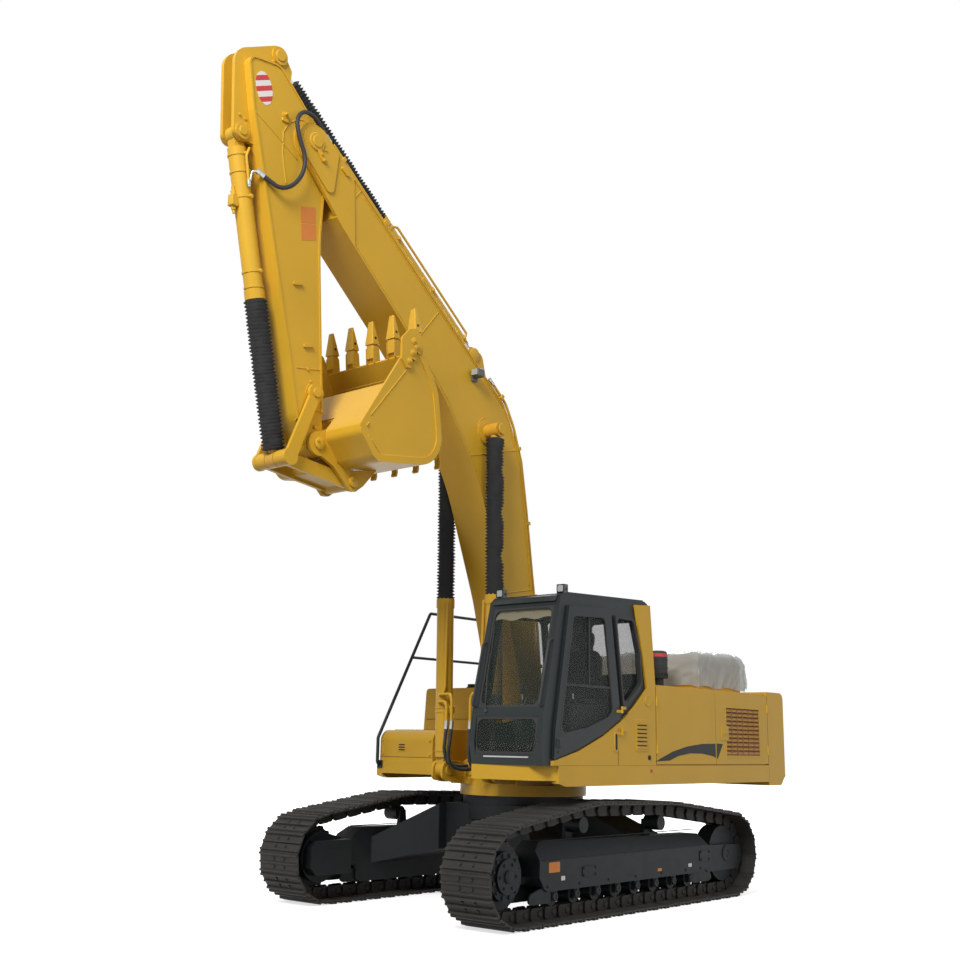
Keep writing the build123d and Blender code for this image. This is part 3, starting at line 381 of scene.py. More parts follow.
def slab(bm, pts, lo, hi, way="Y", edge=0.0):
    """A plate with this outline, from lo to hi along X, Y or Z, its rim eased by edge."""
    pts = rounded(pts)
    c = Vector((sum(p[0] for p in pts) / len(pts), sum(p[1] for p in pts) / len(pts)))
    rings = []
    for w, ins in ((lo, edge), (lo + edge, 0), (hi - edge, 0), (hi, edge)) if edge else ((lo, 0), (hi, 0)):
        ring = []
        for p in pts:
            d = c - Vector(p)
            q = Vector(p) + d.normalized() * min(ins, d.length * 0.4)
            ring.append(bm.verts.new(WAYS[way](q, w)))
        rings.append(ring)
    skin(bm, rings)


def ring_of(bm, c, u, v, r, n):
    return [bm.verts.new(c + (u * math.cos(2 * math.pi * k / n) + v * math.sin(2 * math.pi * k / n)) * r)
            for k in range(n)]


BAND_R = 0.06


def lathe(bm, at, axis, profile, n=24):
    """A turned shape: profile rows are (distance along the axis, radius)."""
    axis = Vector(axis).normalized()
    u = axis.orthogonal().normalized()
    v = axis.cross(u)
    rings = [ring_of(bm, Vector(at) + axis * s, u, v, r, n) for s, r in profile]
    # a wide band stays open in the middle, so that a rod can pass
    band = len(profile) > 3 and profile[0][1] == profile[-1][1] >= BAND_R
    skin(bm, rings + rings[:1] if band else rings, not band)


def bend(pts, r):
    """A path in space with its corners rounded."""
    out = [Vector(pts[0])]
    for a, c, b in zip(pts, pts[1:], pts[2:]):
        a, b, c = Vector(a), Vector(b), Vector(c)
        u, v = (a - c), (b - c)
        half = u.angle(v) / 2
        if half > 1.55:
            out.append(c)
            continue
        t = min(r / math.tan(half), u.length * 0.45, v.length * 0.45)
        p, q = c + u.normalized() * t, c + v.normalized() * t
        for k in range(6):
            f = k / 5
            out.append(p * (1 - f) ** 2 + c * 2 * f * (1 - f) + q * f * f)
    out.append(Vector(pts[-1]))
    return out


def sweep(bm, line, size, n):
    """A closed round skin along a line; size gives the radius of each ring."""
    u = (line[1] - line[0]).normalized().orthogonal().normalized()
    rings = []
    for i, p in enumerate(line):
        d = (line[min(i + 1, len(line) - 1)] - line[max(i - 1, 0)]).normalized()
        u = (u - d * u.dot(d)).normalized()
        rings.append(ring_of(bm, p, u, d.cross(u), size(i), n))
    skin(bm, rings)


def pipe(bm, path, r, n=10):
    sweep(bm, [Vector(p) for p in path], lambda i: r, n)


def rows_tree():
    """Sets one item on every point, turned by the point's own angles."""
    t = bpy.data.node_groups.new("set_on_points", "GeometryNodeTree")
    t.interface.new_socket("Points", in_out="INPUT", socket_type="NodeSocketGeometry")
    item = t.interface.new_socket("Item", in_out="INPUT", socket_type="NodeSocketObject")
    look = t.interface.new_socket("Finish", in_out="INPUT", socket_type="NodeSocketMaterial")
    t.interface.new_socket("Geometry", in_out="OUTPUT", socket_type="NodeSocketGeometry")
    gin, gout = t.nodes.new("NodeGroupInput"), t.nodes.new("NodeGroupOutput")
    info = t.nodes.new("GeometryNodeObjectInfo")
    angles = t.nodes.new("GeometryNodeInputNamedAttribute")
    angles.data_type = "FLOAT_VECTOR"
    angles.inputs["Name"].default_value = "turn"
    turn = t.nodes.new("FunctionNodeEulerToRotation")
    grown = t.nodes.new("GeometryNodeInputNamedAttribute")
    grown.data_type = "FLOAT_VECTOR"
    grown.inputs["Name"].default_value = "grow"
    put = t.nodes.new("GeometryNodeInstanceOnPoints")
    real = t.nodes.new("GeometryNodeRealizeInstances")
    paint = t.nodes.new("GeometryNodeSetMaterial")
    L = t.links.new
    L(gin.outputs["Points"], put.inputs["Points"])
    L(gin.outputs["Item"], info.inputs["Object"])
    L(info.outputs["Geometry"], put.inputs["Instance"])
    L(angles.outputs["Attribute"], turn.inputs[0])
    L(turn.outputs[0], put.inputs["Rotation"])
    L(grown.outputs["Attribute"], put.inputs["Scale"])
    L(put.outputs[0], real.inputs[0])
    L(real.outputs[0], paint.inputs["Geometry"])
    L(gin.outputs["Finish"], paint.inputs["Material"])
    L(paint.outputs[0], gout.inputs["Geometry"])
    return t, item.identifier, look.identifier


ROWS, ROWS_ITEM, ROWS_LOOK = rows_tree()


def set_rows(name, item_bm, places, mat, body, angle=35):
    """places: (position, euler angles, scale) of each item."""
    bmesh.ops.recalc_face_normals(item_bm, faces=item_bm.faces)
    item_me = bpy.data.meshes.new(name + "_item")
    item_bm.to_mesh(item_me)
    item_bm.free()
    item = put(name + "_item", item_me)
    me = bpy.data.meshes.new(name)
    me.from_pydata([tuple(p[0]) for p in places], [], [])
    turn = me.attributes.new("turn", "FLOAT_VECTOR", "POINT")
    grow = me.attributes.new("grow", "FLOAT_VECTOR", "POINT")
    for i, (_, e, g) in enumerate(places):
        turn.data[i].vector = tuple(e)
        grow.data[i].vector = (g, g, g)
    obj = put(name, me)
    mod = obj.modifiers.new("rows", "NODES")
    mod.node_group = ROWS
    mod[ROWS_ITEM] = item
    mod[ROWS_LOOK] = mat
    obj = plain(obj)
    bpy.data.objects.remove(item)
    if not len(obj.data.materials):
        obj.data.materials.append(mat)
    obj.data.polygons.foreach_set("use_smooth", [True] * len(obj.data.polygons))
    obj.data.set_sharp_from_angle(angle=math.radians(angle))
    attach(obj, body)
    return obj


def bolt_head():
    """A hexagon head on a washer, standing up along Z, 1 across its flats' half."""
    bm = bmesh.new()
    lathe(bm, (0, 0, -0.1), (0, 0, 1), [(0, 1.5), (0.28, 1.5), (0.34, 1.42)], 14)
    hexa = [(math.cos(math.radians(60 * k)) * 1.12, math.sin(math.radians(60 * k)) * 1.12) for k in range(6)]
    low = [bm.verts.new((x, y, 0.1)) for x, y in hexa]
    top = [bm.verts.new((x, y, 0.8)) for x, y in hexa]
    cap = [bm.verts.new((x * 0.84, y * 0.84, 0.95)) for x, y in hexa]
    skin(bm, (low, top, cap), False)
    bm.faces.new(cap)
    bm.faces.new(low)
    return bm


def facing(d):
    return Vector(d).to_track_quat("Z", "Y").to_euler()


def bolts(name, places, r, mat, body):
    """places: (position, outward direction)."""
    return set_rows(name, bolt_head(), [(p, facing(d), r) for p, d in places], mat, body)


# tracks: the same belt line as the part's source, in metres
WHEEL_X, WHEEL_Z, WHEEL_R = 2.015, 0.475, 0.449
CARRIERS, CARRIER_OUT, SHOE_N, TRACK_Y = [(0.75, 0.89), (-0.7, 0.86)], 0.214, 50, 1.295
RAIL_H = -0.13
ROLLER_XS = (1.29, 0.93, 0.57, 0.21, -0.15, -0.51, -0.87, -1.23)


def belt():
    wheels = [((WHEEL_X, WHEEL_Z), WHEEL_R)] + [(c, CARRIER_OUT) for c in CARRIERS] + [((-WHEEL_X, WHEEL_Z), WHEEL_R)]
    parts = [("line", (-WHEEL_X, WHEEL_Z - WHEEL_R), (WHEEL_X, WHEEL_Z - WHEEL_R), -math.pi / 2)]
    turn = -math.pi / 2
    for (c1, r1), (c2, r2) in zip(wheels, wheels[1:]):
        d = (c2[0] - c1[0], c2[1] - c1[1])
        psi = (math.atan2(d[1], d[0]) - math.acos((r1 - r2) / math.hypot(*d))) % (2 * math.pi)
        parts.append(("arc", c1, r1, turn, psi))
        parts.append(("line", (c1[0] + r1 * math.cos(psi), c1[1] + r1 * math.sin(psi)),
                      (c2[0] + r2 * math.cos(psi), c2[1] + r2 * math.sin(psi)), psi))
        turn = psi
    parts.append(("arc", wheels[-1][0], WHEEL_R, turn, 1.5 * math.pi))
    return parts


BELT = belt()


def run(e):
    return math.dist(e[1], e[2]) if e[0] == "line" else e[2] * (e[4] - e[3])


BELT_L = sum(run(e) for e in BELT)
PITCH = BELT_L / SHOE_N


def on_belt(s):
    """Point and outward angle, s metres round the belt."""
    s %= BELT_L
    for e in BELT:
        if s <= run(e):
            break
        s -= run(e)
    if e[0] == "line":
        f = s / run(e)
        return Vector((e[1][0] + (e[2][0] - e[1][0]) * f, e[1][1] + (e[2][1] - e[1][1]) * f)), e[3]
    a = e[3] + s / e[2]
    return Vector((e[1][0] + e[2] * math.cos(a), e[1][1] + e[2] * math.sin(a))), a


def link_place(i, y):
    """Where a link sits: its middle on the chord between two pins, X along the belt, Z outwards."""
    a, _ = on_belt(i * PITCH)
    b, _ = on_belt((i + 1) * PITCH)
    d = (b - a).normalized()
    m = (a + b) / 2
    return (m.x, y, m.y), (0, math.atan2(d.y, -d.x), 0), 1.0


def shoe_item():
    bm = bmesh.new()
    line = [(-0.113, -0.012), (-0.109, -0.002), (-0.1, 0.0), (-0.094, 0.021), (-0.09, 0.026), (-0.08, 0.026),
            (-0.076, 0.021), (-0.071, 0.0), (-0.013, 0.0), (-0.007, 0.019), (-0.003, 0.022), (0.003, 0.022),
            (0.007, 0.019), (0.013, 0.0), (0.071, 0.0), (0.076, 0.021), (0.08, 0.026), (0.09, 0.026),
            (0.094, 0.021), (0.1, 0.0), (0.112, -0.003), (0.118, -0.012), (0.116, -0.018), (0.096, -0.014),
            (-0.096, -0.014), (-0.106, -0.02)]
    rings = []
    for y, low in ((-0.3, 0.7), (-0.29, 1), (0.29, 1), (0.3, 0.7)):
        rings.append([bm.verts.new((x, y, z if z < 0.001 else z * low)) for x, z in line])
    skin(bm, rings)
    return bm


def chain_item():
    """Two links and the bush between them, for one pitch."""
    bm = bmesh.new()
    for k in (-1, 1):
        for x0, x1, y in ((-0.1, 0.036, 0.06), (-0.03, 0.128, 0.08)):
            lo, hi = sorted((k * y, k * (y + 0.019)))
            slab(bm, [(x0, -0.04, 0.02), (x0 + 0.02, -0.0135), (x1 - 0.03, -0.0135), (x1, -0.045, 0.02),
                      (x1, -0.105, 0.02), (x1 - 0.03, RAIL_H), (x0 + 0.02, RAIL_H), (x0, -0.11, 0.02)], lo, hi)
    lathe(bm, (0.109, -0.108, -0.075), (0, 1, 0), [(0, 0.018), (0, 0.03), (0.01, 0.034), (0.206, 0.034),
                                                   (0.216, 0.03), (0.216, 0.018)], 12)
    return bm


def add_tracks():
    for k, side_name in ((1, "left"), (-1, "right")):
        y = k * TRACK_Y
        places = [link_place(i, y) for i in range(SHOE_N)]
        shoes = set_rows("shoes_" + side_name, shoe_item(), places, SHOE, "undercarriage", 30)
        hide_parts("track_" + side_name)
        chain = set_rows("chain_" + side_name, chain_item(), places, CHAIN, "undercarriage", 40)
        heads = []
        for (x, _, z), (_, tilt, _), _ in places:
            d, out = Vector((math.cos(tilt), 0, -math.sin(tilt))), Vector((math.sin(tilt), 0, math.cos(tilt)))
            for u in (-0.042, 0.042):
                for w in (-0.078, 0.078):
                    heads.append((Vector((x, y + w, z)) + d * u + out * 0.001, out))
        bolts("shoe_bolts_" + side_name, heads, 0.0125, SHOE, "undercarriage")


# cylinder boots: cloth folds over a wire at every crest, some of them slumped
def boot(name, base, eye, y, s0, s1, r_in, r_out, pitch, body, slump, seed):
    roll = random.Random(seed)
    a, e = Vector((base[0], y, base[1])), Vector((eye[0], y, eye[1]))
    ax = (e - a).normalized()
    n = int((s1 - s0) / pitch)
    bm = bmesh.new()
    u = Vector((0, 1, 0))
    v = ax.cross(u)
    seg = 40
    rings = []
    for i in range(2 * n + 1):
        f = i / (2 * n)
        fold = i % 2
        lump = slump * (math.sin(f * 21 + seed) * 0.5 + math.sin(f * 47 + 2 * seed) * 0.35)
        lean = [roll.uniform(-1, 1) for _ in range(3)]
        ring = []
        for k in range(seg):
            t = 2 * math.pi * k / seg
            wob = (0.5 * math.sin(t + 6 * lean[0]) + 0.35 * math.sin(2 * t + 6 * lean[1])
                   + 0.3 * math.sin(5 * t + 6 * lean[2]))
            if fold:
                r = r_out * (1 - 0.035 * (1 + wob) * roll.uniform(0.4, 1)) + lump * max(0, math.cos(t + seed)) * 0.6
            else:
                r = r_in * (1 + 0.03 * wob) + lump * max(0, math.cos(t + seed)) * 0.5
            r = min(r, r_out)
            s = s0 + (s1 - s0) * f + pitch * 0.1 * wob * (0 < i < 2 * n)
            if i in (0, 2 * n):
                r = r_in * 0.98
            ring.append(bm.verts.new(a + ax * s + (u * math.cos(t) + v * math.sin(t)) * r))
        rings.append(ring)
    skin(bm, rings)
    obj = piece(name, bm, BOOT, body, 180)
    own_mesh(obj)
    return obj


# places shared with the part's source, in metres, side view (x, z)
FOOT, BC_BASE, BC_PIN, BC_Y = (0.1, 1.88), (0.96, 1.39), (1.01, 5.13), 0.36
NOSE, AC_BASE, AC_PIN = (3.75, 7.57), (1.1, 6.05), (4.16, 8.39)
KC_BASE, PA, PB, PC, PD = (4.56, 7.4), (3.57, 4.99), (3.49, 4.5), (3.02, 4.2), (3.85, 4.3)
SIDE_Y, FRAME_Y = 1.48, 1.4505
BOOM_PIPE_R, BOOM_PIPE_YS = 0.016, (-0.205, -0.16, 0.16, 0.205)
CYLINDER_PIPE_R, FOOT_HOSE_R, LOOP_HOSE_R = 0.0165, 0.019, 0.022
CLEANER_X, CLEANER_Y = -1.46, 0.9
ARM_FACE, BOOM_FACE = 0.1853, 0.2345
TOOTH_YS = (-0.62, -0.31, 0.0, 0.31, 0.62)
LAMP_YS = (0.575, 1.388)


def add_boots():
    for k, tag in ((1, "left"), (-1, "right")):
        b = boot("boom_boot_" + tag, BC_BASE, BC_PIN, k * BC_Y, 1.881, 3.646, 0.078, 0.108,
                 0.036, "boom_barrels", 0.05, 5 + k)
        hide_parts("boom_cylinder_bellows")
    b = boot("arm_boot", AC_BASE, AC_PIN, 0, 1.901, 3.557, 0.084, 0.116, 0.036,
             "arm_barrel", 0.01, 11)
    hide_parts("arm_cylinder_bellows")
    b = boot("bucket_boot", KC_BASE, PD, 0, 1.631, 3.088, 0.09, 0.118, 0.036,
             "bucket_barrel", 0.006, 3)
    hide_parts("bucket_cylinder_bellows")


RED = finish("sign_red", (0.55, 0.045, 0.05), dust=0.05, shade=0.08, grain=60, depth=0.05, rough=(0.35, 0.5))
WHITE = finish("sign_white", (0.72, 0.7, 0.66), dust=0.08, shade=0.05, grain=60, depth=0.05, rough=(0.35, 0.5))
ORANGE = finish("plate_orange", (0.62, 0.2, 0.035), dust=0.06, shade=0.08, grain=60, depth=0.05, rough=(0.4, 0.55))
STRIPE = finish("stripe_black", (0.014, 0.014, 0.012), dust=0.03, shade=0.08, grain=60, depth=0.05, rough=(0.4, 0.55),
                gloss=0.2)
# painted shade: the brown of the grille's yellow blades in shadow
GRILLE_SHADE = finish("grille_brown", (0.3, 0.13, 0.035), dust=0.15, shade=0.2, grain=90, depth=0.2, rough=(0.5, 0.65))
STEEL = finish("bright_steel", (0.42, 0.42, 0.4), dust=0.08, shade=0.15, grain=120, depth=0.1, rough=(0.3, 0.45),
               metal=0.9)
SHADE = finish("sun_shade", (0.52, 0.45, 0.3), dust=0.02, shade=0.06, grain=150, depth=0.1, rough=(0.6, 0.75))
LENS = finish("lamp_lens", (0.34, 0.36, 0.33), dust=0.03, shade=0.1, grain=90, depth=0.6, rough=(0.08, 0.16),
              coat=0.4)
SEAT_CLOTH = finish("seat_cloth", (0.035, 0.04, 0.042), dust=0.03, shade=0.15, grain=420, depth=0.7,
                    rough=(0.8, 0.95))
# dark paint of seams, catches, a door pull and non-slip strips, and painted shade in holes, slots and recesses
DARK_AND_SHADE = finish("inner_dark", (0.01, 0.01, 0.009), dust=0.05, shade=0.2, grain=60, depth=0.3, rough=(0.7, 0.9))


def rod_finish(name, pin):
    """Ground chrome that turns to body paint round the eye at its pin."""
    mat = finish(name, (0.7, 0.71, 0.72))
    tree = mat.node_tree
    bsdf = tree.nodes["Principled BSDF"].inputs
    chrome = next(n for n in tree.nodes if n.type == "GROUP")
    paint = tree.nodes.new("ShaderNodeGroup")
    paint.node_tree = WEATHER
    labels = ("Colour", "Dust", "Shade", "Grain", "Grain Depth", "Rough Low", "Rough High")
    for g, looks in ((chrome, ((0.7, 0.71, 0.72, 1), 0.05, 0.03, 200, 0.02, 0.08, 0.16)),
                     (paint, ((0.6, 0.325, 0.03, 1), 0.07, 0.1, 22, 0.06, 0.32, 0.46))):
        feed(tree, *((value, g.inputs[label]) for label, value in zip(labels, looks)))
    place = parts_of(tree, tree.nodes.new("ShaderNodeTexCoord").outputs["Object"])
    flat = tree.nodes.new("ShaderNodeCombineXYZ")
    gap = tree.nodes.new("ShaderNodeVectorMath")
    gap.operation = "DISTANCE"
    feed(tree, (place["X"], flat.inputs["X"]), (place["Z"], flat.inputs["Z"]), (flat.outputs[0], gap.inputs[0]),
         ((pin[0], 0, pin[1]), gap.inputs[1]))
    mask = ramp(tree, gap.outputs["Value"], 0.118, 0.112)
    feed(tree, (mix_colour(tree, mask, chrome.outputs["Colour"], paint.outputs["Colour"]), bsdf["Base Color"]),
         (mix_value(tree, mask, chrome.outputs["Roughness"], paint.outputs["Roughness"]), bsdf["Roughness"]),
         (calc(tree, "SUBTRACT", 1.0, mask), bsdf["Metallic"]))
    return mat


# small shapes used all over the machine
def tube(name, path, r, mat, body, turn=0.06, n=10):
    bm = bmesh.new()
    pipe(bm, bend(path, turn) if turn else path, r, n)
    return piece(name, bm, mat, body, 60)


def discs(name, rows, mat, body, angle=35):
    """rows: (centre, axis, profile) of turned bosses, caps and rings."""
    bm = bmesh.new()
    for at, axis, profile in rows:
        lathe(bm, at, axis, profile, 28)
    return piece(name, bm, mat, body, angle)


def quad(c, a, b, rows):
    """Corners given by steps along two directions from a place."""
    return [(c.x + a.x * u + b.x * v, c.y + a.y * u + b.y * v, r) for u, v, r in rows]


def cap(r, t):
    """The profile of a cap with an eased rim."""
    return [(0, r), (t - 0.004, r), (t, r - 0.004), (t, 0.004)]


def stud(bm, p, k, y, profile, n=24):
    """A turned shape at this side-view place, facing outwards."""
    lathe(bm, (p[0], k * y, p[1]), (0, k, 0), profile, n)


def boss(r, side, top, rim_r, core):
    """The profile of a button: straight side, eased rim and flat top."""
    return [(0, r), (side, r), (top, rim_r), (top, core)]


def band(inner, outer, wide):
    """The profile of a ring round a barrel or a pin."""
    return [(0, inner), (0.0, outer), (wide, outer), (wide, inner)]


def span(k, a, b):
    """From and to along Y, on the side that k gives."""
    return sorted((k * a, k * b))


def mirrored(*paths):
    """Side-view paths, each with its distance from the middle, on both sides."""
    return [[(x, k * y, z) for x, z in path] for k in (-1, 1) for y, path in paths]


def outward(k, y, *points):
    """Places on one side, facing outwards."""
    return [((x, k * y, z), (0, k, 0)) for x, z in points]


def circle(c, r, n, start=0, more=0):
    """Places round a circle; start shifts them by parts of a step, more goes past the last."""
    return [(c[0] + r * math.cos(t), c[1] + r * math.sin(t))
            for t in [2 * math.pi * (i + start) / n for i in range(n + more)]]


def slabs(name, rows, mat, body, edge=0.003):
    """rows: (outline, from, to, way)."""
    bm = bmesh.new()
    for pts, lo, hi, way in rows:
        slab(bm, pts, lo, hi, way, edge)
    return piece(name, bm, mat, body)


def box_pts(x0, x1, z0, z1, r=0.0):
    """The outline of a box, with round corners if r is given."""
    corners = [(x0, z0), (x1, z0), (x1, z1), (x0, z1)]
    return [(*c, r) for c in corners] if r else corners


def welds(name, paths, r, body, mat=None):
    """Beads of weld, rippled along their length."""
    bm = bmesh.new()
    for path in paths:
        path = [Vector(p) for p in path]
        line = []
        for a, b in zip(path, path[1:]):
            n = max(2, int((b - a).length / 0.016))
            line += [a + (b - a) * (k / n) for k in range(n)]
        line.append(path[-1])
        sweep(bm, line, lambda i: r * (1.12 if i % 2 else 0.86), 6)
    return piece(name, bm, mat or YELLOW, body, 180)


def hose(name, route, r, body, to=None):
    """A rubber hose on a smooth line through free space, between two fittings."""
    cu = bpy.data.curves.new(name, "CURVE")
    cu.dimensions = "3D"
    sp = cu.splines.new("NURBS")
    sp.points.add(len(route) - 1)
    for p, q in zip(sp.points, route):
        p.co = (*q, 1)
    sp.order_u = 3
    sp.use_endpoint_u = True
    sp.resolution_u = 8
    line = put(name + "_line", cu)
    shape = bpy.data.meshes.new_from_object(line.evaluated_get(bpy.context.evaluated_depsgraph_get()))
    path = [v.co.copy() for v in shape.vertices]
    bpy.data.objects.remove(line)
    bm = bmesh.new()
    pipe(bm, path, r, 14)
    bmesh.ops.recalc_face_normals(bm, faces=bm.faces)
    obj = new_object(name, bm, RUBBER)
    if to:
        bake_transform(obj)
    else:
        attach(obj, body)
    bm = bmesh.new()
    fitting(bm, path[-1] - (path[-1] - path[-2]) * 0.1, path[-1] - path[-2], r, 0.09)
    tip = piece(name + "_end", bm, STEEL, to or body)
    return obj


def fitting(bm, at, d, r, length=0.07):
    """A crimped hose end with its hexagon nut."""
    lathe(bm, at, d, [(0, r * 0.7), (0, r * 1.22), (length * 0.55, r * 1.22), (length * 0.56, r * 0.95),
                      (length * 0.62, r * 0.95)], 16)
    at = Vector(at) + Vector(d).normalized() * length * 0.62
    lathe(bm, at, d, [(0, r * 0.8), (0, r * 1.35), (length * 0.4, r * 1.35), (length * 0.4, r * 0.7)], 6)


# arm
def add_arm():
    face = ARM_FACE
    # striped oval sign
    c, tall = Vector((4.385, 7.91)), Vector((0.3, 0.954))
    wide = Vector((-tall.y, tall.x))
    cuts = [-1, -0.8, -0.5, -0.17, 0.13, 0.45, 0.76, 1]
    for tag, mat, pick in (("red", RED, (1, 3, 5)), ("white", WHITE, (0, 2, 4, 6))):
        bm = bmesh.new()
        for i in pick:
            ts = [cuts[i] + (cuts[i + 1] - cuts[i]) * k / 4 for k in range(5)]
            edge = []
            for sgn, order in ((1, ts), (-1, ts[::-1])):
                for t in order:
                    w = 0.104 * math.sqrt(max(0, 1 - t * t))
                    # the bands lean
                    p = c + tall * (t * 0.17 + sgn * w * 0.16) + wide * (sgn * w)
                    if not edge or (Vector(edge[-1]) - p).length > 1e-4:
                        edge.append((p.x, p.y))
            if (Vector(edge[0]) - Vector(edge[-1])).length < 1e-4:
                edge.pop()
            slab(bm, edge, face, face + 0.0016, "Y")
            slab(bm, edge, -face - 0.0016, -face, "Y")
        piece("oval_sign_" + tag, bm, mat, "arm")
    # two blank orange plates
    a, b, d, e = (3.85, 6.86), (3.655, 6.915), (3.63, 6.57), (3.82, 6.51)
    mix = lambda p, q, f: (p[0] + (q[0] - p[0]) * f, p[1] + (q[1] - p[1]) * f)
    rows = []
    for f0, f1 in ((0.0, 0.485), (0.515, 1.0)):
        rows.append(([(*mix(a, e, f0), 0.008), (*mix(b, d, f0), 0.008), (*mix(b, d, f1), 0.008),
                      (*mix(a, e, f1), 0.008)], face, face + 0.0018, "Y"))
    slabs("blank_plates_arm", rows, ORANGE, "arm", 0)
    # pin ends and small bolts on both sides
    rows, heads = [], []
    for k in (-1, 1):
        for p, y, r, t in ((AC_PIN, 0.127, 0.058, 0.012), (KC_BASE, 0.127, 0.046, 0.012), (PA, 0.247, 0.05, 0.01),
                           (NOSE, 0.275, 0.062, 0.014)):
            rows.append(((p[0], k * y, p[1]), (0, k, 0), cap(r, t)))
        for p, y, ang, reach in ((AC_PIN, 0.127, -0.9, 0.105), (KC_BASE, 0.127, 2.0, 0.09)):
            q = (p[0] + math.cos(ang) * reach, p[1] + math.sin(ang) * reach)
            heads += outward(k, 0.105, q)
    discs("arm_pin_ends", rows, YELLOW, "arm")
    # the valve and small tabs on the side of the arm
    bm = bmesh.new()
    for k in (-1, 1):
        stud(bm, (4.11, 7.74), k, face, [(0, 0.034), (0.01, 0.034), (0.012, 0.018), (0.034, 0.018), (0.036, 0.012),
                                         (0.05, 0.012)], 18)
        slab(bm, box_pts(4.075, 4.15, 7.66, 7.7, 0.01), *span(k, face, face + 0.018), "Y", 0.003)
        for p, q in (((3.9, 6.03), (3.79, 6.06)), ((3.73, 5.435), (3.62, 5.465))):
            d = Vector((q[0] - p[0], q[1] - p[1])).normalized()
            n = Vector((-d.y, d.x)) * 0.016
            slab(bm, [(p[0] - n.x, p[1] - n.y, 0.008), (q[0] - n.x, q[1] - n.y, 0.008),
                      (q[0] + n.x, q[1] + n.y, 0.008), (p[0] + n.x, p[1] + n.y, 0.008)],
                 *span(k, face - 0.001, face + 0.022), "Y", 0.003)
    piece("arm_tabs", bm, YELLOW, "arm")
    for k in (-1, 1):
        for p in ((3.655, 5.215), (3.61, 5.1), (3.52, 4.66)):
            heads += outward(k, 0.186, p)
        heads += [((4.6, k * 0.105, 7.56), (0, k, 0)), ((4.53, k * 0.105, 7.545), (0, k, 0))]
    bolts("arm_fittings", heads, 0.013, YELLOW, "arm")
    y = face + 0.001
    # the last two: where the narrow end meets the box, and the cylinders' brackets
    seams = mirrored((y, [(3.8, 5.2), (3.475, 5.25)]), (y, [(4.47, 7.62), (4.18, 7.47), (3.93, 7.33)]),
                     (y, [(3.8, 7.8), (3.93, 7.77), (4.05, 7.68), (4.12, 7.55), (4.11, 7.3), (4.05, 7.02)]),
                     (0.166, [(PB[0] + 0.33 * math.cos(t), PB[1] + 0.33 * math.sin(t))
                              for t in [0.55 + 0.12 * i for i in range(12)]]),
                     (0.108, [(4.5, 7.72), (4.58, 8.12), (4.52, 8.17), (4.25, 8.23)]))
    welds("arm_welds", seams, 0.0055, "arm")
    # cross tube between the two brackets at the top
    tube("arm_cross_tube", [(4.42, -0.066, 8.34), (4.42, 0.066, 8.34)], 0.035, YELLOW, "arm", 0, 18)


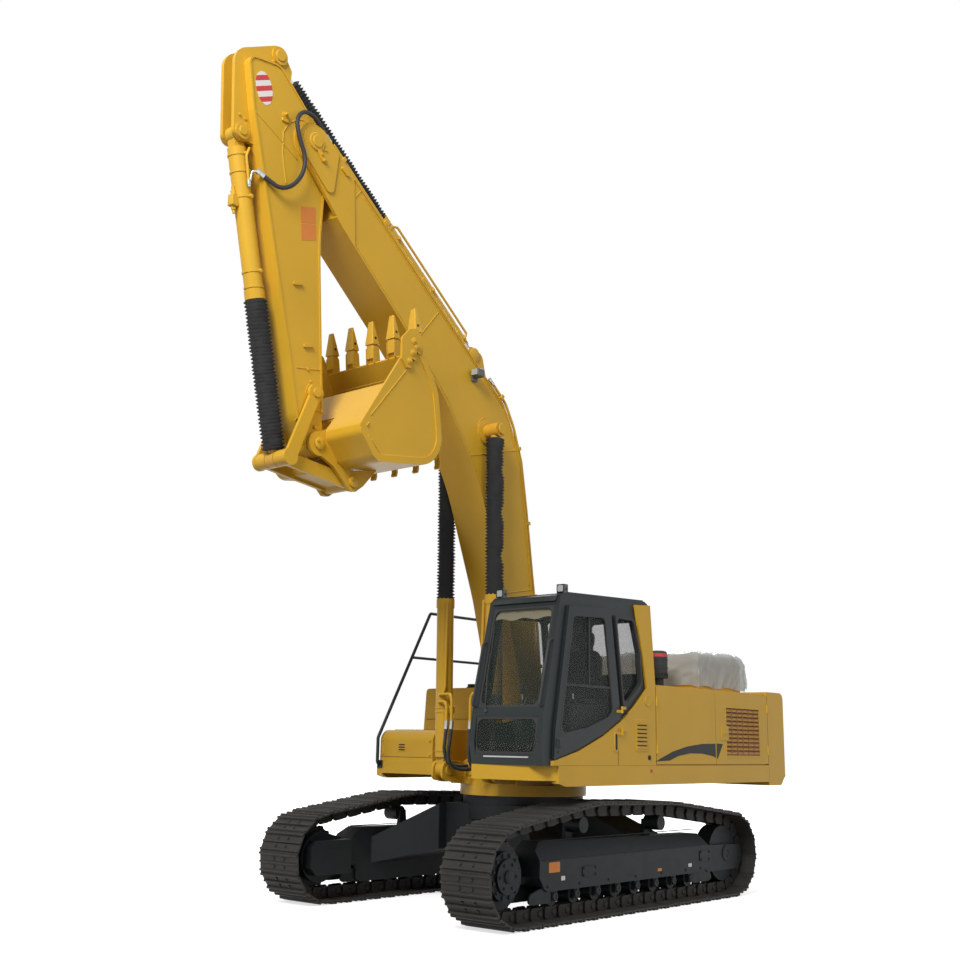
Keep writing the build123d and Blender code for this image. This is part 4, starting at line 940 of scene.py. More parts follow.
def add_arm_cylinders():
    # bucket cylinder: bands, ports, valve block and pipes
    ax = Vector((PD[0] - KC_BASE[0], 0, PD[1] - KC_BASE[1])).normalized()
    base = Vector((KC_BASE[0], 0, KC_BASE[1]))
    bm = bmesh.new()
    for s in (0.2, 0.37, 0.62, 1.35, 1.5):
        lathe(bm, base + ax * s, ax, band(0.09, 0.099, 0.02), 32)
    for s, y in ((0.21, 0.1), (0.38, 0.1), (0.63, 0.1), (1.36, 0.1)):
        c = base + ax * s
        lathe(bm, (c.x - 0.02, y - 0.01, c.z), (0, 1, 0), [(0, 0.022), (0.028, 0.022), (0.03, 0.018)], 6)
    c = base + ax * 0.66
    slab(bm, box_pts(c.x + 0.075, c.x + 0.15, c.z - 0.09, c.z + 0.03, 0.01), -0.045, 0.035, "Y", 0.005)
    lathe(bm, (c.x + 0.11, -0.005, c.z + 0.02), (0.2, 0, 1), [(0, 0.028), (0.05, 0.028), (0.055, 0.02), (0.09, 0.02)],
          14)
    lathe(bm, (c.x + 0.11, -0.005, c.z - 0.08), (-0.2, 0, -1),
          [(0, 0.024), (0.04, 0.024), (0.045, 0.016), (0.08, 0.016)], 14)
    piece("bucket_cylinder_bands", bm, YELLOW, "bucket_barrel")
    side = lambda s, y, off: tuple(base + ax * s + Vector((-ax.z, 0, ax.x)) * off + Vector((0, y, 0)))
    tube("bucket_cylinder_pipe", [side(0.13, 0.0, -0.1), side(0.13, 0.05, -0.12), side(0.16, 0.115, -0.06),
                                  side(0.24, 0.118, -0.01), side(0.48, 0.118, 0.0)], 0.0145, YELLOW, "bucket_barrel")
    tube("bucket_cylinder_pipe_low", [side(0.5, -0.118, 0.0), side(1.46, -0.118, 0.0), side(1.5, -0.1, 0.0)], 0.0145,
         YELLOW, "bucket_barrel")
    bm = bmesh.new()
    p = Vector(side(0.48, 0.118, 0.0))
    lathe(bm, p, ax, [(0, 0.022), (0.05, 0.022), (0.052, 0.017), (0.07, 0.017)], 12)
    piece("bucket_port_fitting", bm, STEEL, "bucket_barrel")
    tube("bucket_port_pipe", [tuple(p + ax * 0.06), (4.43, 0.135, 7.03), (4.39, 0.165, 7.02), (4.34, 0.2, 6.99)],
         0.0125, STEEL, "bucket_barrel", 0.03)
    # arm cylinder: bands, ports and pipes
    ax = Vector((AC_PIN[0] - AC_BASE[0], 0, AC_PIN[1] - AC_BASE[1])).normalized()
    base = Vector((AC_BASE[0], 0, AC_BASE[1]))
    bm = bmesh.new()
    for s in (0.22, 0.9, 1.6, 1.76):
        lathe(bm, base + ax * s, ax, band(0.1, 0.11, 0.022), 32)
    for s in (0.24, 0.92, 1.62):
        for k in (-1, 1):
            c = base + ax * s
            stud(bm, (c.x, c.z), k, 0.108, [(0, 0.02), (0.022, 0.02), (0.024, 0.016)], 6)
    piece("arm_cylinder_bands", bm, YELLOW, "arm_barrel")
    up = Vector((-ax.z, 0, ax.x))
    along = lambda s, y, off: tuple(base + ax * s + up * off + Vector((0, y, 0)))
    for k in (-1, 1):
        tube("arm_cylinder_pipe_%d" % (k + 2), [along(0.2, k * 0.05, 0.09), along(0.22, k * 0.06, 0.135),
                                                along(1.7, k * 0.06, 0.135), along(1.74, k * 0.05, 0.09)], 0.014,
             YELLOW, "arm_barrel", 0.05)


def add_boom():
    # pipes along the top, with clamps; they follow the outline of the boom
    top = [(-0.035, 2.1), (0.055, 2.95), (0.165, 3.6), (0.275, 4.3), (0.385, 4.9), (0.53, 5.28), (0.68, 5.53),
           (0.9, 5.7)]
    rise = [(1.42, 6.05), (2.3, 6.72), (3.1, 7.33), (3.5, 7.64)]
    out_top, out_rise = [], []
    for pts, keep in ((top, out_top), (rise, out_rise)):
        for i, p in enumerate(pts):
            a, b = pts[max(i - 1, 0)], pts[min(i + 1, len(pts) - 1)]
            d = Vector((b[0] - a[0], b[1] - a[1])).normalized()
            keep.append((p[0] - d.y * 0.04, p[1] + d.x * 0.04))
    for k, y in enumerate(BOOM_PIPE_YS):
        tube("boom_pipe_low_%d" % k, [(p[0], y, p[1]) for p in out_top], BOOM_PIPE_R, YELLOW, "boom", 0.25)
        if k in (0, 3):
            tube("boom_pipe_high_%d" % k, [(p[0], y, p[1]) for p in out_rise], BOOM_PIPE_R, YELLOW, "boom", 0.25)
    bm, heads = bmesh.new(), []
    for pts, at, ys in ((out_top, (0.12, 0.33, 0.55, 0.78, 0.95), (-0.1825, 0.1825)),
                        (out_rise, (0.06, 0.34, 0.63, 0.93), (-0.205, 0.205))):
        total = sum(math.dist(a, b) for a, b in zip(pts, pts[1:]))
        for f in at:
            s = f * total
            for a, b in zip(pts, pts[1:]):
                if s <= math.dist(a, b):
                    break
                s -= math.dist(a, b)
            d = Vector((b[0] - a[0], b[1] - a[1])).normalized()
            n = Vector((-d.y, d.x))
            c = Vector(a) + d * s
            for y in ys:
                w = 0.052 if len(pts) > 5 else 0.03
                corners = [c - d * 0.022 - n * 0.042, c + d * 0.022 - n * 0.042, c + d * 0.022 + n * 0.024,
                           c - d * 0.022 + n * 0.024]
                slab(bm, [(q.x, q.y, 0.006) for q in corners], y - w, y + w, "Y", 0.004)
                heads.append(((c.x + n.x * 0.026, y, c.y + n.y * 0.026), (n.x, 0, n.y)))
    piece("boom_pipe_clamps", bm, YELLOW, "boom")
    bolts("boom_clamp_bolts", heads, 0.011, YELLOW, "boom")
    # fittings where the pipes break off for their hoses
    bm = bmesh.new()
    for y in (-0.205, 0.205):
        for p, q in ((out_top[-1], out_top[-2]), (out_rise[0], out_rise[1])):
            d = (p[0] - q[0], 0, p[1] - q[1])
            fitting(bm, (p[0], y, p[1]), d, 0.018, 0.08)
    piece("boom_hose_ends", bm, STEEL, "boom")
    # pin bosses at the nose, the cylinders and the foot, keeper plates and their bolts
    bm, heads = bmesh.new(), []
    for k in (-1, 1):
        stud(bm, NOSE, k, 0.262, boss(0.098, 0.012, 0.018, 0.09, 0.062), 32)
        slab(bm, [(3.7, 7.5, 0.02), (3.745, 7.475, 0.02), (3.665, 7.375, 0.02), (3.61, 7.41, 0.02)],
             *span(k, 0.262, 0.284), "Y", 0.004)
        stud(bm, AC_BASE, k, 0.105, boss(0.078, 0.014, 0.018, 0.072, 0.01), 28)
        stud(bm, BC_PIN, k, 0.452, [(-0.008, 0.04), (0.012, 0.062), (0.018, 0.058), (0.018, 0.01)], 28)
        stud(bm, FOOT, k, 0.318, boss(0.085, 0.014, 0.02, 0.078, 0.01), 28)
        heads += [((3.65, k * 0.284, 7.405), (0, k, 0)), ((3.69, k * 0.284, 7.455), (0, k, 0)),
                  ((3.625, k * 0.263, 7.53), (0, k, 0))]
        # a small plate on the top edge
        slab(bm, [(3.31, 7.36, 0.01), (3.4, 7.425, 0.01), (3.375, 7.46, 0.01), (3.285, 7.395, 0.01)],
             *span(k, 0.239, 0.268), "Y", 0.003)
    piece("boom_bosses", bm, YELLOW, "boom")
    bolts("boom_bolts", heads, 0.013, YELLOW, "boom")
    y = BOOM_FACE
    # the last two run inside the raised flanges of the long edges
    seams = mirrored(
        (y, [(3.39, 6.885), (3.09, 7.3)]),
        (y, [(2.2, 5.9), (1.86, 6.32)]),
        (y, [(1.3, 4.8), (0.44, 5.03)]),
        (y, [(0.66, 3.33), (0.19, 3.42)]),
        (y, circle(BC_PIN, 0.158, 24, 0, 1)),
        (y, [(0.215, 3.46), (0.42, 4.86), (0.715, 5.47), (1.2, 5.84), (3.05, 7.24)]),
        (y, [(3.28, 6.8), (2.42, 6.07), (1.66, 5.35), (1.12, 4.57), (0.62, 3.29)]))
    welds("boom_welds", seams, 0.0055, "boom")
    # work lamp on the left side at the elbow
    bm = bmesh.new()
    slab(bm, box_pts(1.22, 1.3, 5.66, 5.72, 0.01), 0.236, 0.268, "Y", 0.002)
    slab(bm, [(1.215, 5.7, 0.015), (1.325, 5.7, 0.015), (1.335, 5.79, 0.02), (1.215, 5.79, 0.02)], 0.262, 0.372, "Y",
         0.01)
    piece("boom_lamp", bm, LAMP, "boom")
    slabs("boom_lamp_lens", [(box_pts(0.275, 0.359, 5.712, 5.78, 0.012),
                              1.326, 1.34, "X")], LENS, "boom", 0.002)


def add_boom_cylinders():
    ax = Vector((BC_PIN[0] - BC_BASE[0], 0, BC_PIN[1] - BC_BASE[1])).normalized()
    bm, heads = bmesh.new(), []
    for k in (-1, 1):
        base = Vector((BC_BASE[0], k * BC_Y, BC_BASE[1]))
        for s in (0.2, 0.62, 0.665, 1.78, 1.86):
            lathe(bm, base + ax * s, ax, band(0.094, 0.103, 0.018), 36)
        for i in range(12):
            t = 2 * math.pi * i / 12
            heads.append((base + ax * 1.88 + Vector((math.cos(t), math.sin(t), 0)) * 0.09, (ax.x, 0, ax.z)))
        c = base + ax * 0.64
        slab(bm, box_pts(c.x - 0.03, c.x + 0.03, c.z - 0.03, c.z + 0.05, 0.005), *span(k, BC_Y - 0.135, BC_Y - 0.09),
             "Y", 0.004)
        # pin ends
        for way in (-1, 1):
            lathe(bm, (BC_BASE[0], k * BC_Y + way * 0.084, BC_BASE[1]), (0, way, 0), cap(0.055, 0.012), 28)
    piece("boom_cylinder_bands", bm, YELLOW, "boom_barrels")
    bolts("boom_gland_bolts", heads, 0.008, YELLOW, "boom_barrels")
    routes = (("a", 0.05, [(1.075, 0.335, 2.205), (1.095, 0.3, 2.205), (1.095, 0.155, 2.205), (1.095, 0.135, 2.13),
                           (1.095, 0.135, 1.9)]),
              ("b", 0.045, [(1.075, 0.345, 2.125), (1.1, 0.3, 2.125), (1.1, 0.225, 2.125), (1.1, 0.205, 2.06),
                            (1.1, 0.205, 1.9)]),
              ("c", 0.05, [(1.035, 0.29, 3.22), (1.055, 0.268, 3.2), (1.07, 0.262, 2.28), (1.085, 0.285, 2.2)]))
    for k in (-1, 1):
        for tag, turn, route in routes:
            tube("boom_cylinder_pipe_%s%d" % (tag, k + 2), [(x, k * y, z) for x, y, z in route], CYLINDER_PIPE_R,
                 YELLOW, "boom_barrels", turn)


def add_foot_hoses():
    """Hoses from a plate on the main frame up to the pipes of the boom cylinders."""
    routes = (("a", [(0.7, 0.12, 1.41), (0.8, 0.12, 1.4), (0.95, 0.13, 1.395), (1.09, 0.15, 1.44), (1.13, 0.15, 1.58),
                     (1.105, 0.137, 1.72), (1.095, 0.135, 1.83)]),
              ("b", [(0.7, 0.19, 1.44), (0.8, 0.19, 1.435), (0.92, 0.195, 1.43), (1.06, 0.21, 1.46),
                     (1.12, 0.215, 1.6), (1.11, 0.207, 1.72), (1.1, 0.205, 1.83)]))
    for k, tag in ((-1, "right"), (1, "left")):
        for which, route in routes:
            hose("hose_%s_%s" % (which, tag), [(x, k * y, z) for x, y, z in route], FOOT_HOSE_R, "upper")
    bm = bmesh.new()
    slab(bm, box_pts(-0.26, 0.26, 1.335, 1.47, 0.01), 0.7, 0.712, "X", 0.003)
    for k in (-1, 1):
        for v, z in ((0.12, 1.41), (0.19, 1.44)):
            fitting(bm, (0.755, k * v, z), (-1, 0, 0), 0.02, 0.05)
    piece("hose_bulkhead", bm, YELLOW, "upper")


def add_s_hose():
    hose("arm_loop_hose", [(3.6, 0.222, 7.722), (3.69, 0.235, 7.79), (3.8, 0.262, 7.835), (3.96, 0.288, 7.82),
                           (4.06, 0.3, 7.68), (4.00, 0.3, 7.48), (3.915, 0.298, 7.34), (3.92, 0.292, 7.16),
                           (4.03, 0.282, 6.98), (4.17, 0.255, 6.905), (4.27, 0.228, 6.945), (4.335, 0.205, 6.985)],
         LOOP_HOSE_R, "boom", "arm")
    bm = bmesh.new()
    fitting(bm, (3.6, 0.222, 7.722), (-0.8, -0.12, -0.6), 0.02, 0.09)
    piece("nose_fitting", bm, STEEL, "boom")


# rods: chrome, with body paint round the eye
for n, pin in (("boom_cylinder_rod", BC_PIN), ("arm_cylinder_rod", AC_PIN), ("bucket_cylinder_rod", PD)):
    NODES[n].data.materials.clear()
    NODES[n].data.materials.append(rod_finish(n + "_finish", pin))


def add_bucket():
    bm, heads, welded = bmesh.new(), [], []
    for k in (-1, 1):
        for x, z in ((2.735, 5.64), (2.69, 5.59), (2.745, 5.515), (2.79, 5.415)):
            stud(bm, (x, z), k, 0.724, boss(0.036, 0.008, 0.012, 0.03, 0.004), 20)
            heads += outward(k, 0.736, (x, z))
        # bosses of the two pins
        for p, y in ((PB, 0.227), (PC, 0.23)):
            stud(bm, p, k, y - 0.004, boss(0.062, 0.012, 0.016, 0.056, 0.01), 26)
            heads.append(((p[0] + 0.034, k * (y + 0.01), p[1] + 0.02), (0, k, 0)))
    piece("bucket_bosses", bm, YELLOW, "bucket")
    bolts("bucket_bolts", heads, 0.014, YELLOW, "bucket")
    sides = ((0.7005, [(2.62, 5.5), (2.42, 5.2), (2.335, 4.8), (2.31, 4.52), (2.4, 4.49), (3.12, 4.385), (3.26, 4.52)]),
             (0.7005, [(3.28, 4.75), (2.72, 5.43)]),
             (0.671, [(2.59, 5.47), (2.4, 5.16), (2.3, 4.5), (3.15, 4.365)]))
    for k in (-1, 1):
        welded += [[(x, k * y, z) for x, z in path] for y, path in sides]
        # along the foot of the ears
        welded.append([(3.4, k * 0.205, 4.665), (3.2, k * 0.205, 4.36), (2.72, k * 0.213, 4.372)])
    welded.append([(2.62, -0.66, 5.35), (2.62, 0.66, 5.35)])
    welds("bucket_welds", welded, 0.006, "bucket")
    # wear strips down the curved back
    bm = bmesh.new()
    for yc in TOOTH_YS:
        slab(bm, [(2.31, 5.09, 0.01), (2.235, 4.46, 0.04), (2.25, 4.425, 0.03), (2.225, 4.415, 0.01),
                  (2.212, 4.46, 0.04), (2.288, 5.095, 0.01)], yc - 0.035, yc + 0.035, "Y", 0.004)
    piece("bucket_wear_strips", bm, YELLOW, "bucket")


def add_teeth():
    # the pin hole, a dark plate of painted shade, and the raised lips of every tooth
    bm, holes = bmesh.new(), bmesh.new()
    for y in TOOTH_YS:
        a, b = Vector((2.598, 5.56)), Vector((2.622, 5.778))
        d = (b - a).normalized()
        n = Vector((d.y, -d.x))
        c = b + d * 0.062
        q = a + d * 0.115
        for w in (-1, 1):
            slab(holes, quad(c, d, n, [(-0.022, -0.015, 0.006), (-0.022, 0.015, 0.006), (0.022, 0.015, 0.006),
                                       (0.022, -0.015, 0.006)]), *sorted((y + w * 0.044, y + w * 0.0545)), "Y", 0.002)
            # a raised lip either side of the cheek
            slab(bm, quad(q, n, d, [(-0.052, -0.1, 0.01), (0.052, -0.1, 0.01), (0.046, 0.085, 0.03),
                                    (-0.046, 0.085, 0.03)]), *sorted((y + w * 0.05, y + w * 0.0575)), "Y", 0.003)
    piece("tooth_lips", bm, YELLOW, "bucket")
    piece("tooth_pins", holes, DARK_AND_SHADE, "bucket")


# upper structure
def add_side():
    f = SIDE_Y + 0.0005
    # the black stripe that sweeps up to the grille
    outer = [(-0.46, 1.52), (-0.63, 1.572), (-0.82, 1.628), (-1.13, 1.687), (-1.45, 1.718), (-1.765, 1.726)]
    inner = [(-1.765, 1.562), (-1.71, 1.58), (-1.45, 1.61), (-1.19, 1.61), (-0.94, 1.58), (-0.75, 1.53)]
    bm = bmesh.new()
    slab(bm, outer + inner, f, f + 0.0014, "Y")
    piece("side_stripe", bm, STRIPE, "left_front_door")
    bm = bmesh.new()
    slab(bm, [(-1.795, 1.728), (-1.94, 1.722), (-1.81, 1.55), (-1.795, 1.552)], f, f + 0.0014, "Y")
    piece("side_stripe_end", bm, STRIPE, "left_rear_door")
    # raised louvre block, grab slot, bare disc and catches on the cab's side panel
    bm = bmesh.new()
    slab(bm, box_pts(-0.315, -0.075, 1.625, 1.965, 0.02), f - 0.002, f + 0.005, "Y", 0.002)
    for i in range(7):
        z = 1.655 + 0.043 * i
        slab(bm, box_pts(-0.295, -0.095, z, z + 0.022, 0.008), f + 0.003,
             f + 0.011, "Y", 0.003)
    slab(bm, box_pts(0.258, 0.335, 1.615, 1.825, 0.03), f - 0.002, f + 0.006, "Y", 0.002)
    lathe(bm, (-0.32, f - 0.002, 2.165), (0, 1, 0), [(0, 0.06), (0.006, 0.06), (0.008, 0.057), (0.008, 0.048),
        (0.005, 0.046), (0.005, 0.002)], 32)
    piece("side_mouldings", bm, YELLOW, "upper")
    # painted shade: dark plates in the grab slot and in the gaps between the louvres
    bm = bmesh.new()
    slab(bm, box_pts(0.28, 0.313, 1.635, 1.805, 0.015), f + 0.0045, f + 0.0075, "Y")
    for i in range(6):
        z = 1.679 + 0.043 * i
        slab(bm, box_pts(-0.29, -0.1, z, z + 0.012, 0.004), f + 0.0035, f + 0.0065, "Y")
    piece("side_recesses", bm, DARK_AND_SHADE, "upper")
    discs("side_catch", [((-0.34, f, 1.56), (0, 1, 0), boss(0.026, 0.006, 0.01, 0.02, 0.003))], DARK_AND_SHADE, "upper")
    discs("side_reflector", [((-0.38, f, 1.42), (0, 1, 0), boss(0.02, 0.004, 0.006, 0.015, 0.003))],
          RED, "upper")
    # a seam down the panel
    slabs("panel_seam", [(box_pts(0.252, 0.257, 1.486, 1.86), f, f + 0.0012, "Y")], DARK_AND_SHADE, "upper", 0)
    # grille: folded rim and level blades with five upright bars over them; blades and bars carry painted shade, a brown
    # for yellow in shadow
    bm = bmesh.new()
    slab(bm, box_pts(-2.08, -1.9, 1.765, 1.935, 0.012), SIDE_Y - 0.004,
         SIDE_Y + 0.006, "Y", 0.002)
    for x0, x1, z0, z1 in ((-2.866, -2.014, 1.574, 1.592), (-2.866, -2.014, 2.148, 2.166),
                           (-2.866, -2.848, 1.592, 2.148), (-2.032, -2.014, 1.592, 2.148)):
        slab(bm, box_pts(x0, x1, z0, z1), SIDE_Y - 0.004, SIDE_Y + 0.004, "Y", 0.002)
    piece("grille_rim", bm, YELLOW, "left_rear_door")
    bm = bmesh.new()
    for i in range(22):
        z = 1.6 + 0.025 * i
        slab(bm, [(1.466, z + 0.006), (1.4812, z), (1.4812, z + 0.003), (1.47, z + 0.017), (1.466, z + 0.017)], -2.85,
             -2.03, "X")
    for x in (-2.166, -2.303, -2.44, -2.577, -2.714):
        slab(bm, box_pts(x - 0.004, x + 0.004, 1.59, 2.15), 1.466, 1.4835, "Y", 0.001)
    piece("grille_blades", bm, GRILLE_SHADE, "left_rear_door")
    bm = bmesh.new()
    lathe(bm, (-1.965, SIDE_Y + 0.006, 1.85), (0, 1, 0), boss(0.03, 0.004, 0.006, 0.026, 0.003), 24)
    slab(bm, box_pts(-2.045, -1.985, 1.835, 1.865, 0.008), SIDE_Y + 0.006,
         SIDE_Y + 0.012, "Y", 0.002)
    piece("grille_catch", bm, YELLOW, "left_rear_door")
    # hinge knuckles, and the right door's pull and louvres
    for body, x, k in (("left_front_door", -0.498, 1), ("left_rear_door", -3.062, 1),
                       ("right_rear_door", -3.062, -1)):
        rows = [((x, k * (SIDE_Y + 0.002), z), (0, 0, 1), [(0, 0.013), (0.1, 0.013)]) for z in (1.6, 2.12)]
        discs("hinge_knuckles_" + body, rows, YELLOW, body)
    slabs("pull_right_rear_door", [(box_pts(-1.96, -1.84, 1.86, 1.94, 0.012), *span(-1, SIDE_Y, SIDE_Y + 0.005),
                                    "Y")], DARK_AND_SHADE, "right_rear_door", 0.002)
    rows = []
    for i in range(9):
        z = 1.62 + 0.05 * i
        rows.append((box_pts(-2.75, -2.15, z, z + 0.022, 0.008), *span(-1, SIDE_Y - 0.001, SIDE_Y + 0.009), "Y"))
    slabs("right_door_louvres", rows, YELLOW, "right_rear_door", 0.003)


def add_counterweight():
    bm, heads = bmesh.new(), []
    for y in (-0.75, 0.75):
        slab(bm, [(-3.5, 2.378), (-3.28, 2.378), (-3.3, 2.46, 0.03), (-3.36, 2.5, 0.05), (-3.42, 2.5, 0.05),
                  (-3.48, 2.46, 0.03)], y - 0.022, y + 0.022, "Y", 0.006)
    for k in (-1, 1):
        slab(bm, box_pts(*span(k, 1.05, 1.3), 1.6, 1.7, 0.02), -3.64, -3.6, "X", 0.004)
    piece("lifting_eyes", bm, YELLOW, "upper")
    # painted shade: dark plates filling the holes of the lifting eyes
    slabs("eye_holes", [(box_pts(-3.425, -3.355, 2.425, 2.468, 0.02), y - 0.0226,
                         y + 0.0226, "Y") for y in (-0.75, 0.75)], DARK_AND_SHADE, "upper", 0)
    for x in (-3.2, -3.4):
        for y in (-0.3, 0.3):
            heads.append(((x, y, 2.378), (0, 0, 1)))
    bolts("counterweight_bolts", heads, 0.03, YELLOW, "upper")
    slabs("counterweight_seam", [(box_pts(-3.0785, -3.0755, 1.28, 2.34), k * SIDE_Y - 0.0006, k * SIDE_Y + 0.0006,
                                  "Y") for k in (-1, 1)], DARK_AND_SHADE, "upper", 0)


def add_deck():
    # toolbox: lid seam and slotted plate; non-slip strips on top
    f = 0.8605
    slabs("toolbox_seam", [(box_pts(-1.448, -0.622, 1.512, 1.517), f - 0.001, f + 0.0006, "X")], DARK_AND_SHADE, "upper", 0)
    slabs("toolbox_plate", [(box_pts(-1.165, -1.035, 1.575, 1.675, 0.012),
                             f - 0.002, f + 0.004, "X")], YELLOW, "upper", 0.001)
    # painted shade: dark plates in the slots of the toolbox plate
    slabs("toolbox_slots", [(box_pts(-1.148, -1.052, z, z + 0.014, 0.006),
                             f + 0.0035, f + 0.0065, "X") for z in (1.59, 1.618, 1.646)], DARK_AND_SHADE, "upper", 0)
    rows = []
    for i in range(9):
        y = -1.38 + 0.085 * i
        rows.append((box_pts(0.2, 0.7, y, y + 0.03, 0.006), 1.8195, 1.826, "Z"))
    slabs("non_slip_strips", rows, DARK_AND_SHADE, "upper", 0.0)
    heads = [((0.862, y, z), (1, 0, 0)) for y in (-1.41, -0.66) for z in (1.545, 1.7)]
    heads += [((0.2 + 0.14 * i, -1.451, 1.5), (0, -1, 0)) for i in range(5)]
    # tanks: filler caps, bolts and front seam
    rows = [((-0.3, -1.05, 2.329), (0, 0, 1), [(0, 0.075), (0.03, 0.075), (0.032, 0.062), (0.06, 0.062),
                                               (0.066, 0.054), (0.066, 0.004)]),
            ((-1.25, -1.05, 2.349), (0, 0, 1), [(0, 0.06), (0.025, 0.06), (0.028, 0.048), (0.05, 0.048),
                                                (0.055, 0.04), (0.055, 0.004)])]
    discs("filler_caps", rows, STRIPE, "upper")
    for y in (-1.4, -0.72):
        for x in (-0.75, -0.4, -0.05):
            heads.append(((x, y, 2.329), (0, 0, 1)))
    bolts("deck_bolts", heads, 0.011, YELLOW, "upper")
    slabs("tank_seam", [(box_pts(-1.44, -0.64, 1.96, 1.964), 0.0985, 0.1015, "X")], DARK_AND_SHADE, "upper", 0)
    # foot plate, bolts and flange of the handrail
    slabs("rail_foot", [(box_pts(-1.465, -1.385, 1.385, 1.475, 0.015), 0.88, 0.892, "X")],
          CHARCOAL, "upper", 0.003)
    bolts("rail_bolts", [((0.892, y, z), (1, 0, 0)) for y in (-1.45, -1.4) for z in (1.402, 1.458)], 0.01, CHARCOAL,
          "upper")
    rows = [((-1.18, -1.425, 2.352), (0, 0, 1), boss(0.05, 0.008, 0.01, 0.046, 0.02))]
    discs("rail_flange", rows, CHARCOAL, "upper")
    # frame nose: welds along the cheeks and the lugs
    seams = []
    for k in (-1, 1):
        seams.append([(-0.98, k * 0.292, 1.478), (0.7, k * 0.292, 1.478)])
        for yy in (BC_Y - 0.087, BC_Y + 0.087):
            seams.append([(0.762, k * yy, 1.476), (1.00, k * yy, 1.488)])
    welds("frame_welds", seams, 0.006, "upper")
    # pre-cleaner: red band, slots shown as dark plates of painted shade, and bowl rings
    discs("cleaner_band", [((CLEANER_X, CLEANER_Y, 2.735), (0, 0, 1), band(0.1122, 0.1136, 0.04))], RED, "upper")
    rows = [((CLEANER_X, CLEANER_Y, z), (0, 0, 1), band(0.112, 0.1185, 0.012)) for z in (2.49, 2.6, 2.7)]
    rows.append(((CLEANER_X, CLEANER_Y, 2.348), (0, 0, 1), boss(0.095, 0.01, 0.012, 0.09, 0.06)))
    discs("cleaner_rings", rows, RUBBER, "upper")
    lid = [((x, y, 2.52), (*out, 0))
           for (x, y), out in zip(circle((CLEANER_X, CLEANER_Y), 0.1125, 20), circle((0, 0), 1, 20))]
    bm = bmesh.new()
    slab(bm, box_pts(-0.6, 0.6, -2.6, 2.6, 0.5), -0.2, 0.5, "Z", 0.1)
    set_rows("cleaner_vanes", bm, [(p, facing(d), 0.009) for p, d in lid], DARK_AND_SHADE, "upper")


# film that was left over the raised hood
def add_film():
    x0, x1, y0, y1, zt, zb = -2.99, -1.9, -1.15, 1.18, 2.81, 2.44
    roll = random.Random(12)
    waves = [(Vector((roll.uniform(-1, 1), roll.uniform(-1, 1), roll.uniform(-1, 1))).normalized() * f,
              roll.uniform(0, 6.28), h) for f, h in ((4, 0.016), (7, 0.015), (12, 0.012), (19, 0.009), (27, 0.007),
        (38, 0.006), (54, 0.004), (6, 0.014))]
    cx, cy, hx, hy, drop, r = (x0 + x1) / 2, (y0 + y1) / 2, (x1 - x0) / 2, (y1 - y0) / 2, zt - zb, 0.09
    nx, ny = 76, 130
    lx, ly = hx + drop, hy + drop
    bm = bmesh.new()
    grid = []

    def fold(t, h):
        """Distance from the middle to a place across the top, round the edge and down the side."""
        s, t = (1 if t >= 0 else -1), abs(t)
        flat, bend_len = h - r, r * math.pi / 2
        if t <= flat:
            return s * t, 0.0
        if t <= flat + bend_len:
            a = (t - flat) / r
            return s * (flat + r * math.sin(a)), r * (1 - math.cos(a))
        return s * h, r + t - flat - bend_len

    for i in range(nx + 1):
        row = []
        for j in range(ny + 1):
            u, v = (2 * i / nx - 1) * lx, (2 * j / ny - 1) * ly
            px, dx = fold(u, hx)
            py, dy = fold(v, hy)
            if dx > r and dy > r:
                # the spare cloth of a corner is gathered round it
                t = math.atan2(dy - r, dx - r)
                d = min(max(dx, dy), math.hypot(dx - r, dy - r) * 0.9 + r)
                sx, sy = (1 if u > 0 else -1), (1 if v > 0 else -1)
                bulge = 0.045 * math.sin(2 * t) * min(1, (d - r) / 0.15)
                px, py = px + sx * bulge * math.cos(t) * 0.5, py + sy * bulge * math.sin(t) * 0.5
                z = zt - d
            else:
                z = zt - max(dx, dy) if min(dx, dy) < 1e-6 else zt - max(dx, dy) - 0.3 * min(dx, dy)
            out = Vector((px / hx if dx > 0.02 else 0, py / hy if dy > 0.02 else 0, 1 if dx < r and dy < r else 0))
            out = out.normalized() if out.length > 0 else Vector((0, 0, 1))
            p = Vector((cx + px, cy + py, z))
            lift = 0.012
            for w, ph, h in waves:
                fold_w = 1 - abs(math.sin(w.dot(p) + ph + 1.3 * math.sin(w.dot(p) * 0.37 + ph)))
                lift += h * fold_w ** 2
            rag = 0.05 * math.sin(11 * px + 3) * math.sin(7 * py + 1) if z < zt - 0.2 else 0
            p = p + out * lift + Vector((0, 0, rag * min(1, (zt - 0.2 - z) / 0.2)))
            p.z = max(p.z, 2.356)
            row.append(bm.verts.new(p))
        grid.append(row)
    for i in range(nx):
        for j in range(ny):
            bm.faces.new((grid[i][j], grid[i + 1][j], grid[i + 1][j + 1], grid[i][j + 1]))
    mat = finish("clear_film", (0.36, 0.39, 0.4), dust=0.04, shade=0.25, grain=14, depth=0.6, rough=(0.12, 0.3),
                 gloss=0.5, dust_colour=(0.32, 0.31, 0.28))
    mat.node_tree.nodes["Principled BSDF"].inputs["Alpha"].default_value = 0.7
    area = sum(f.calc_area() for f in bm.faces)
    obj = new_object("hood_film", bm, mat)
    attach(obj, "hood")


# cab
QUARTER = [(0.29, 3.05), (-0.07, 3.04), (-0.19, 2.69), (-0.225, 2.34), (-0.06, 2.2), (0.15, 2.06)]
DOOR_GLASS = [(1.285, 1.76), (1.062, 3.000), (0.47, 3.025), (0.33, 2.03), (0.42, 1.95), (0.8, 1.835)]
RIGHT_WIN = [(1.3, 1.83), (1.08, 3.02), (0.34, 3.05), (0.22, 1.99)]


